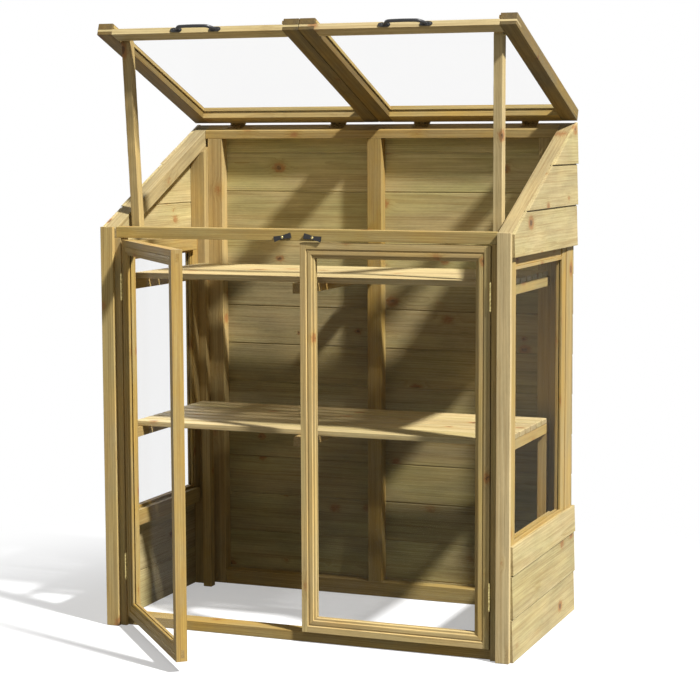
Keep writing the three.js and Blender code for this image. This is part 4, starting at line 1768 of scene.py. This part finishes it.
    def prop(self) -> None:
        """Makes the prop: a stick with a rounded top that hangs from a bolt in the outer stile.

        Formula: the stick's outline is half an ellipse over two long edges, whose points move in
        by up to about a millimetre, as on rough-sawn timber.
        """
        own_pivot = np.array([0.0, self.pivot_inset - self.front, -self.pivot_drop])
        pivot = self.placing.points(own_pivot)
        drop = pivot[2] - self.at.front_height + self.foot_drop
        length = drop / math.cos(math.radians(self.prop_lean))
        width, depth = self.prop_size
        t = np.linspace(0, np.pi, 13)
        arc = np.column_stack([depth / 2 * np.cos(t), self.prop_crown * np.sin(t)])
        down = np.linspace(-self.prop_shoulder, -length, 30)
        source = np.random.default_rng(zlib.crc32(self.name.encode()))
        fade = np.sin(np.linspace(0, np.pi, len(down))) ** self.prop_fade
        rough = source.uniform(*self.prop_roughness, (2, len(down))) * fade
        rear = np.column_stack([-depth / 2 - rough[0], down])
        face = np.column_stack([depth / 2 + rough[1], down])[::-1]
        stick = carried(np.concatenate([arc, rear, face]), -width, 0.0, Along.X, Along.Z.direction)
        outer = self.at.rafter_inner - self.prop_gap
        leaning = Placing(1.0, "Y", self.prop_side_lean, (outer, 0.0, 0.0))
        stick.points = leaning.points(stick.points)
        bolt_start, bolt_end = self.bolt_x
        shank = [(self.bolt_radius, 0.0), (self.bolt_radius, bolt_end - bolt_start)]
        bolt = turned(shank, (outer + bolt_start, 0.0, 0.0), Along.X, sides=12)
        hang = Placing(self.side.value, "X", self.prop_lean, tuple(pivot))
        piece, name = partial(self.shop.piece, body=f"{self.name}_prop", placing=hang), self.name
        stock = Stock.LID if self.side is Side.LEFT else Stock.PALE
        piece(f"{name}_prop_stick", [stick], f"{name}_prop", smooth_angle=40.0, stock=stock)
        piece(f"{name}_prop_bolt", [bolt], finish=Finish.ZINC, bevel=0.0)

    def build(self) -> None:
        """Makes the lid's pieces."""
        name, gap, member = self.name, self.at.gap, self.member
        for part, x in (
            ("outer", (self.far - member, self.far)),
            ("inner", (self.near, self.near + member)),
        ):
            node = f"{name}_lid_{part}_stile"
            # the stiles take the very dark stock, which paints the shade under the lid
            self.piece(f"{name}_lid_{part}_side", [self.stile(x)], node, stock=Stock.STILE)
        for part, top, y, stock in (
            ("front", self.rail_top, (-self.front, member - self.front - gap), Stock.PALE),
            ("rear", self.top, (gap - self.rear - member, -self.rear), Stock.LID),
        ):
            rail, node = self.rail(top, y), f"{name}_lid_{part}_rail"
            self.piece(f"{name}_lid_{part}_bar", [rail], node, bevel=self.rail_bevel, stock=stock)
        self.glazing()
        self.handle()
        self.hinges()
        self.prop()


@dataclass
class TurnButton:
    """A bow-tie turn button on its screw in the front rail's face."""

    shop: Workshop
    at: Layout
    side: Side
    place: float
    tilt: float
    length: float = 53.0
    end_height: float = 16.0
    waist: float = 10.0
    swelling: float = 1.3
    rounded_from: float = 0.9
    rounding: float = 3.0
    least_height: float = 0.5
    bevel: float = 0.45
    thickness: float = 5.0
    boss_radius: float = 4.5
    standoff: float = 1.3
    rise: float = 9.5
    screw_radius: float = 3.6
    screw_rise: float = 1.5

    def build(self) -> None:
        """Makes the button and its screw.

        Formula: the half height swells from the waist to the ends with a power of the distance
        from the screw, and the ends are rounded off by a power curve.
        """
        at = self.at
        half = self.length / 2
        x = np.linspace(-half, half, 41)
        share = np.abs(x) / half
        swell = (self.waist + (self.end_height - self.waist) * share**self.swelling) / 2
        end = np.clip((share - self.rounded_from) / (1 - self.rounded_from), 0, 1)
        height = swell * (1 - end**self.rounding) ** (1 / self.rounding)
        keep = height > self.least_height
        upper = np.column_stack([height[keep], x[keep]])
        outline = np.concatenate([upper, upper[::-1] * [-1, 1]])
        plate = carried(outline, -self.thickness, 0.0, Along.Y, Along.X.direction)
        collar = [(self.boss_radius, 0.0), (self.boss_radius, self.standoff - at.gap)]
        boss = turned(collar, (0.0, 0.0, 0.0), Along.Y)
        origin = (self.place, at.rail_setback - self.standoff, at.rail_bottom + self.rise)
        body = f"{self.side.label}_turn_button"
        piece = partial(self.shop.piece, body=body, placing=Placing(1.0, "Y", -self.tilt, origin))
        name = self.side.label
        look = {"finish": Finish.BLACK, "bevel": self.bevel, "smooth_angle": 40.0}
        piece(f"{name}_button_plate", [plate, boss], body, **look)
        screw = screw_head((0.0, -self.thickness, 0.0), Along.Y, self.screw_radius, -self.screw_rise)
        piece(f"{name}_button_screw", [screw], finish=Finish.ZINC, bevel=0.0)


@dataclass(frozen=True)
class Lamp:
    """One square lamp: its name, its place and side in metres, and its power in watts."""

    name: str
    place: Point
    size: float
    power: float


@dataclass(frozen=True)
class Studio:
    """The floor, the lamps, the white surroundings and the camera."""

    eye: Point = (2.037, -4.8735, 1.386)
    yaw: float = 21.37
    pitch: float = -6.23
    roll: float = -0.20
    lens: float = 99.65
    sensor: float = 36.0
    clip: Range = (0.05, 60.0)
    surroundings: float = 0.05
    sun_direction: Point = (0.625, -0.240, 0.743)
    sun_angle: float = 4.0
    sun_strength: float = 7.0
    target: Point = (0.0, 0.2, 0.85)
    lamps: tuple[Lamp, ...] = (
        Lamp("sky_lamp", (0.71, -3.83, 4.53), 2.5, 38.0),
        Lamp("fill_lamp", (-1.0, -5.0, 2.4), 3.0, 7.0),
        Lamp("rear_lamp", (-4.5, 4.2, 2.2), 3.0, 220.0),
    )
    floor_radius: float = 30.0
    floor_drop: float = 0.001
    floor_fade: Range = (0.75, 1.9)
    floor_glow: float = 0.4
    floor_lit: Colour = (0.9, 0.9, 0.9, 1.0)
    floor_bounce: Colour = (0.07, 0.07, 0.07, 1.0)

    def stand(self, name: str, data: bpy.types.ID, matrix: Matrix) -> bpy.types.Object:
        """Puts a camera or a lamp in the scene.

        Args:
            name: Its name.
            data: The camera or the lamp.
            matrix: Its place and turn.

        Returns:
            Its object.
        """
        thing = bpy.data.objects.new(name, data)
        thing.matrix_world = matrix
        bpy.context.scene.collection.objects.link(thing)
        return thing

    def camera(self) -> None:
        """Makes the camera at the photograph's place: yaw to the left, pitch down, then roll."""
        data = bpy.data.cameras.new("photo_camera")
        data.lens, data.sensor_width = self.lens, self.sensor
        data.clip_start, data.clip_end = self.clip
        turn = (
            Matrix.Rotation(math.radians(self.yaw), 4, "Z")
            @ Matrix.Rotation(math.radians(90 + self.pitch), 4, "X")
            @ Matrix.Rotation(math.radians(self.roll), 4, "Z")
        )
        eye = Matrix.Translation(self.eye)
        bpy.context.scene.camera = self.stand("photo_camera", data, eye @ turn)

    def light(self) -> None:
        """Makes the soft sun, as high and as far to the right as the photograph's, and the lamps."""
        data = bpy.data.lights.new("sun_lamp", "SUN")
        data.energy, data.angle = self.sun_strength, math.radians(self.sun_angle)
        turn = (-Vector(self.sun_direction)).to_track_quat("-Z", "Y")
        self.stand("sun_lamp", data, turn.to_matrix().to_4x4())
        for lamp in self.lamps:
            data = bpy.data.lights.new(lamp.name, "AREA")
            data.size, data.energy = lamp.size, lamp.power
            turn = (Vector(self.target) - Vector(lamp.place)).to_track_quat("-Z", "Y")
            place = Matrix.Translation(lamp.place)
            self.stand(lamp.name, data, place @ turn.to_matrix().to_4x4())

    def world(self) -> None:
        """Makes surroundings that are seen white and light the object only a little."""
        world = bpy.data.worlds.new("studio")
        bpy.context.scene.world = world
        world.use_nodes = True
        tree = Tree(world.node_tree)
        strength = tree.seen() * (1 - self.surroundings) + self.surroundings
        back = tree.node("ShaderNodeBackground", None, {"Color": WHITE, "Strength": strength})
        tree.node("ShaderNodeOutputWorld", None, {"Surface": back.outputs[0]})

    def floor(self) -> None:
        """Makes a pale round floor that keeps the shadow and turns white away from the object.

        Formula: a smooth step of the distance from the origin mixes the lit floor with white.
        """
        angle = np.linspace(0, 2 * np.pi, 64, endpoint=False)
        circle = self.floor_radius * np.column_stack([np.cos(angle), np.sin(angle)])
        points = np.column_stack([circle, np.full(len(angle), -self.floor_drop)])
        mesh = bpy.data.meshes.new("floor")
        mesh.from_pydata(points.tolist(), [], [tuple(range(len(angle)))])
        floor = bpy.data.objects.new("floor", mesh)
        bpy.context.scene.collection.objects.link(floor)
        recipe = Recipe("pale_floor")
        seen = recipe.seen()
        recipe.finish(Base_Color=recipe.mix(seen, self.floor_bounce, self.floor_lit), Roughness=0.9)
        glow = recipe.node("ShaderNodeEmission", None, {"Color": WHITE, "Strength": 1.0})
        x, y, _ = recipe.parts(recipe.place())
        away = (x * x + y * y).root().smooth(*self.floor_fade, start=self.floor_glow) * seen
        shaders = {0: away, 1: recipe.shader.outputs[0], 2: glow.outputs[0]}
        mixed = recipe.node("ShaderNodeMixShader", None, shaders)
        recipe.feed(recipe.output.inputs["Surface"], mixed.outputs[0])
        mesh.materials.append(recipe.material)

    def build(self) -> None:
        """Makes the whole studio."""
        bpy.context.scene.view_settings.view_transform = "Standard"
        self.light()
        self.world()
        self.floor()
        self.camera()


def main() -> None:
    """Builds the greenhouse and its studio."""
    logging.basicConfig(level=logging.INFO, format="%(name)s %(message)s")
    at = Layout()
    shop = Workshop(finishes())
    FrontFrame(shop, at).build()
    for side in Side:
        SideWall(shop, at, side).build()
    BackWall(shop, at).build()
    SlattedShelf(shop, at, "top_shelf", top=1008.0, has_legs=False).build()
    SlattedShelf(shop, at, "middle_shelf", top=583.0, has_legs=True).build()
    Door(shop, at, Side.LEFT, opening=48.7).build()
    Door(shop, at, Side.RIGHT, opening=0.0).build()
    for side in Side:
        Lid(shop, at, side).build()
    TurnButton(shop, at, Side.LEFT, place=-48.0, tilt=13.0).build()
    TurnButton(shop, at, Side.RIGHT, place=40.0, tilt=-10.0).build()
    Studio().build()
    log.info("%d pieces", len(shop.made))


if __name__ == "__main__":
    main()
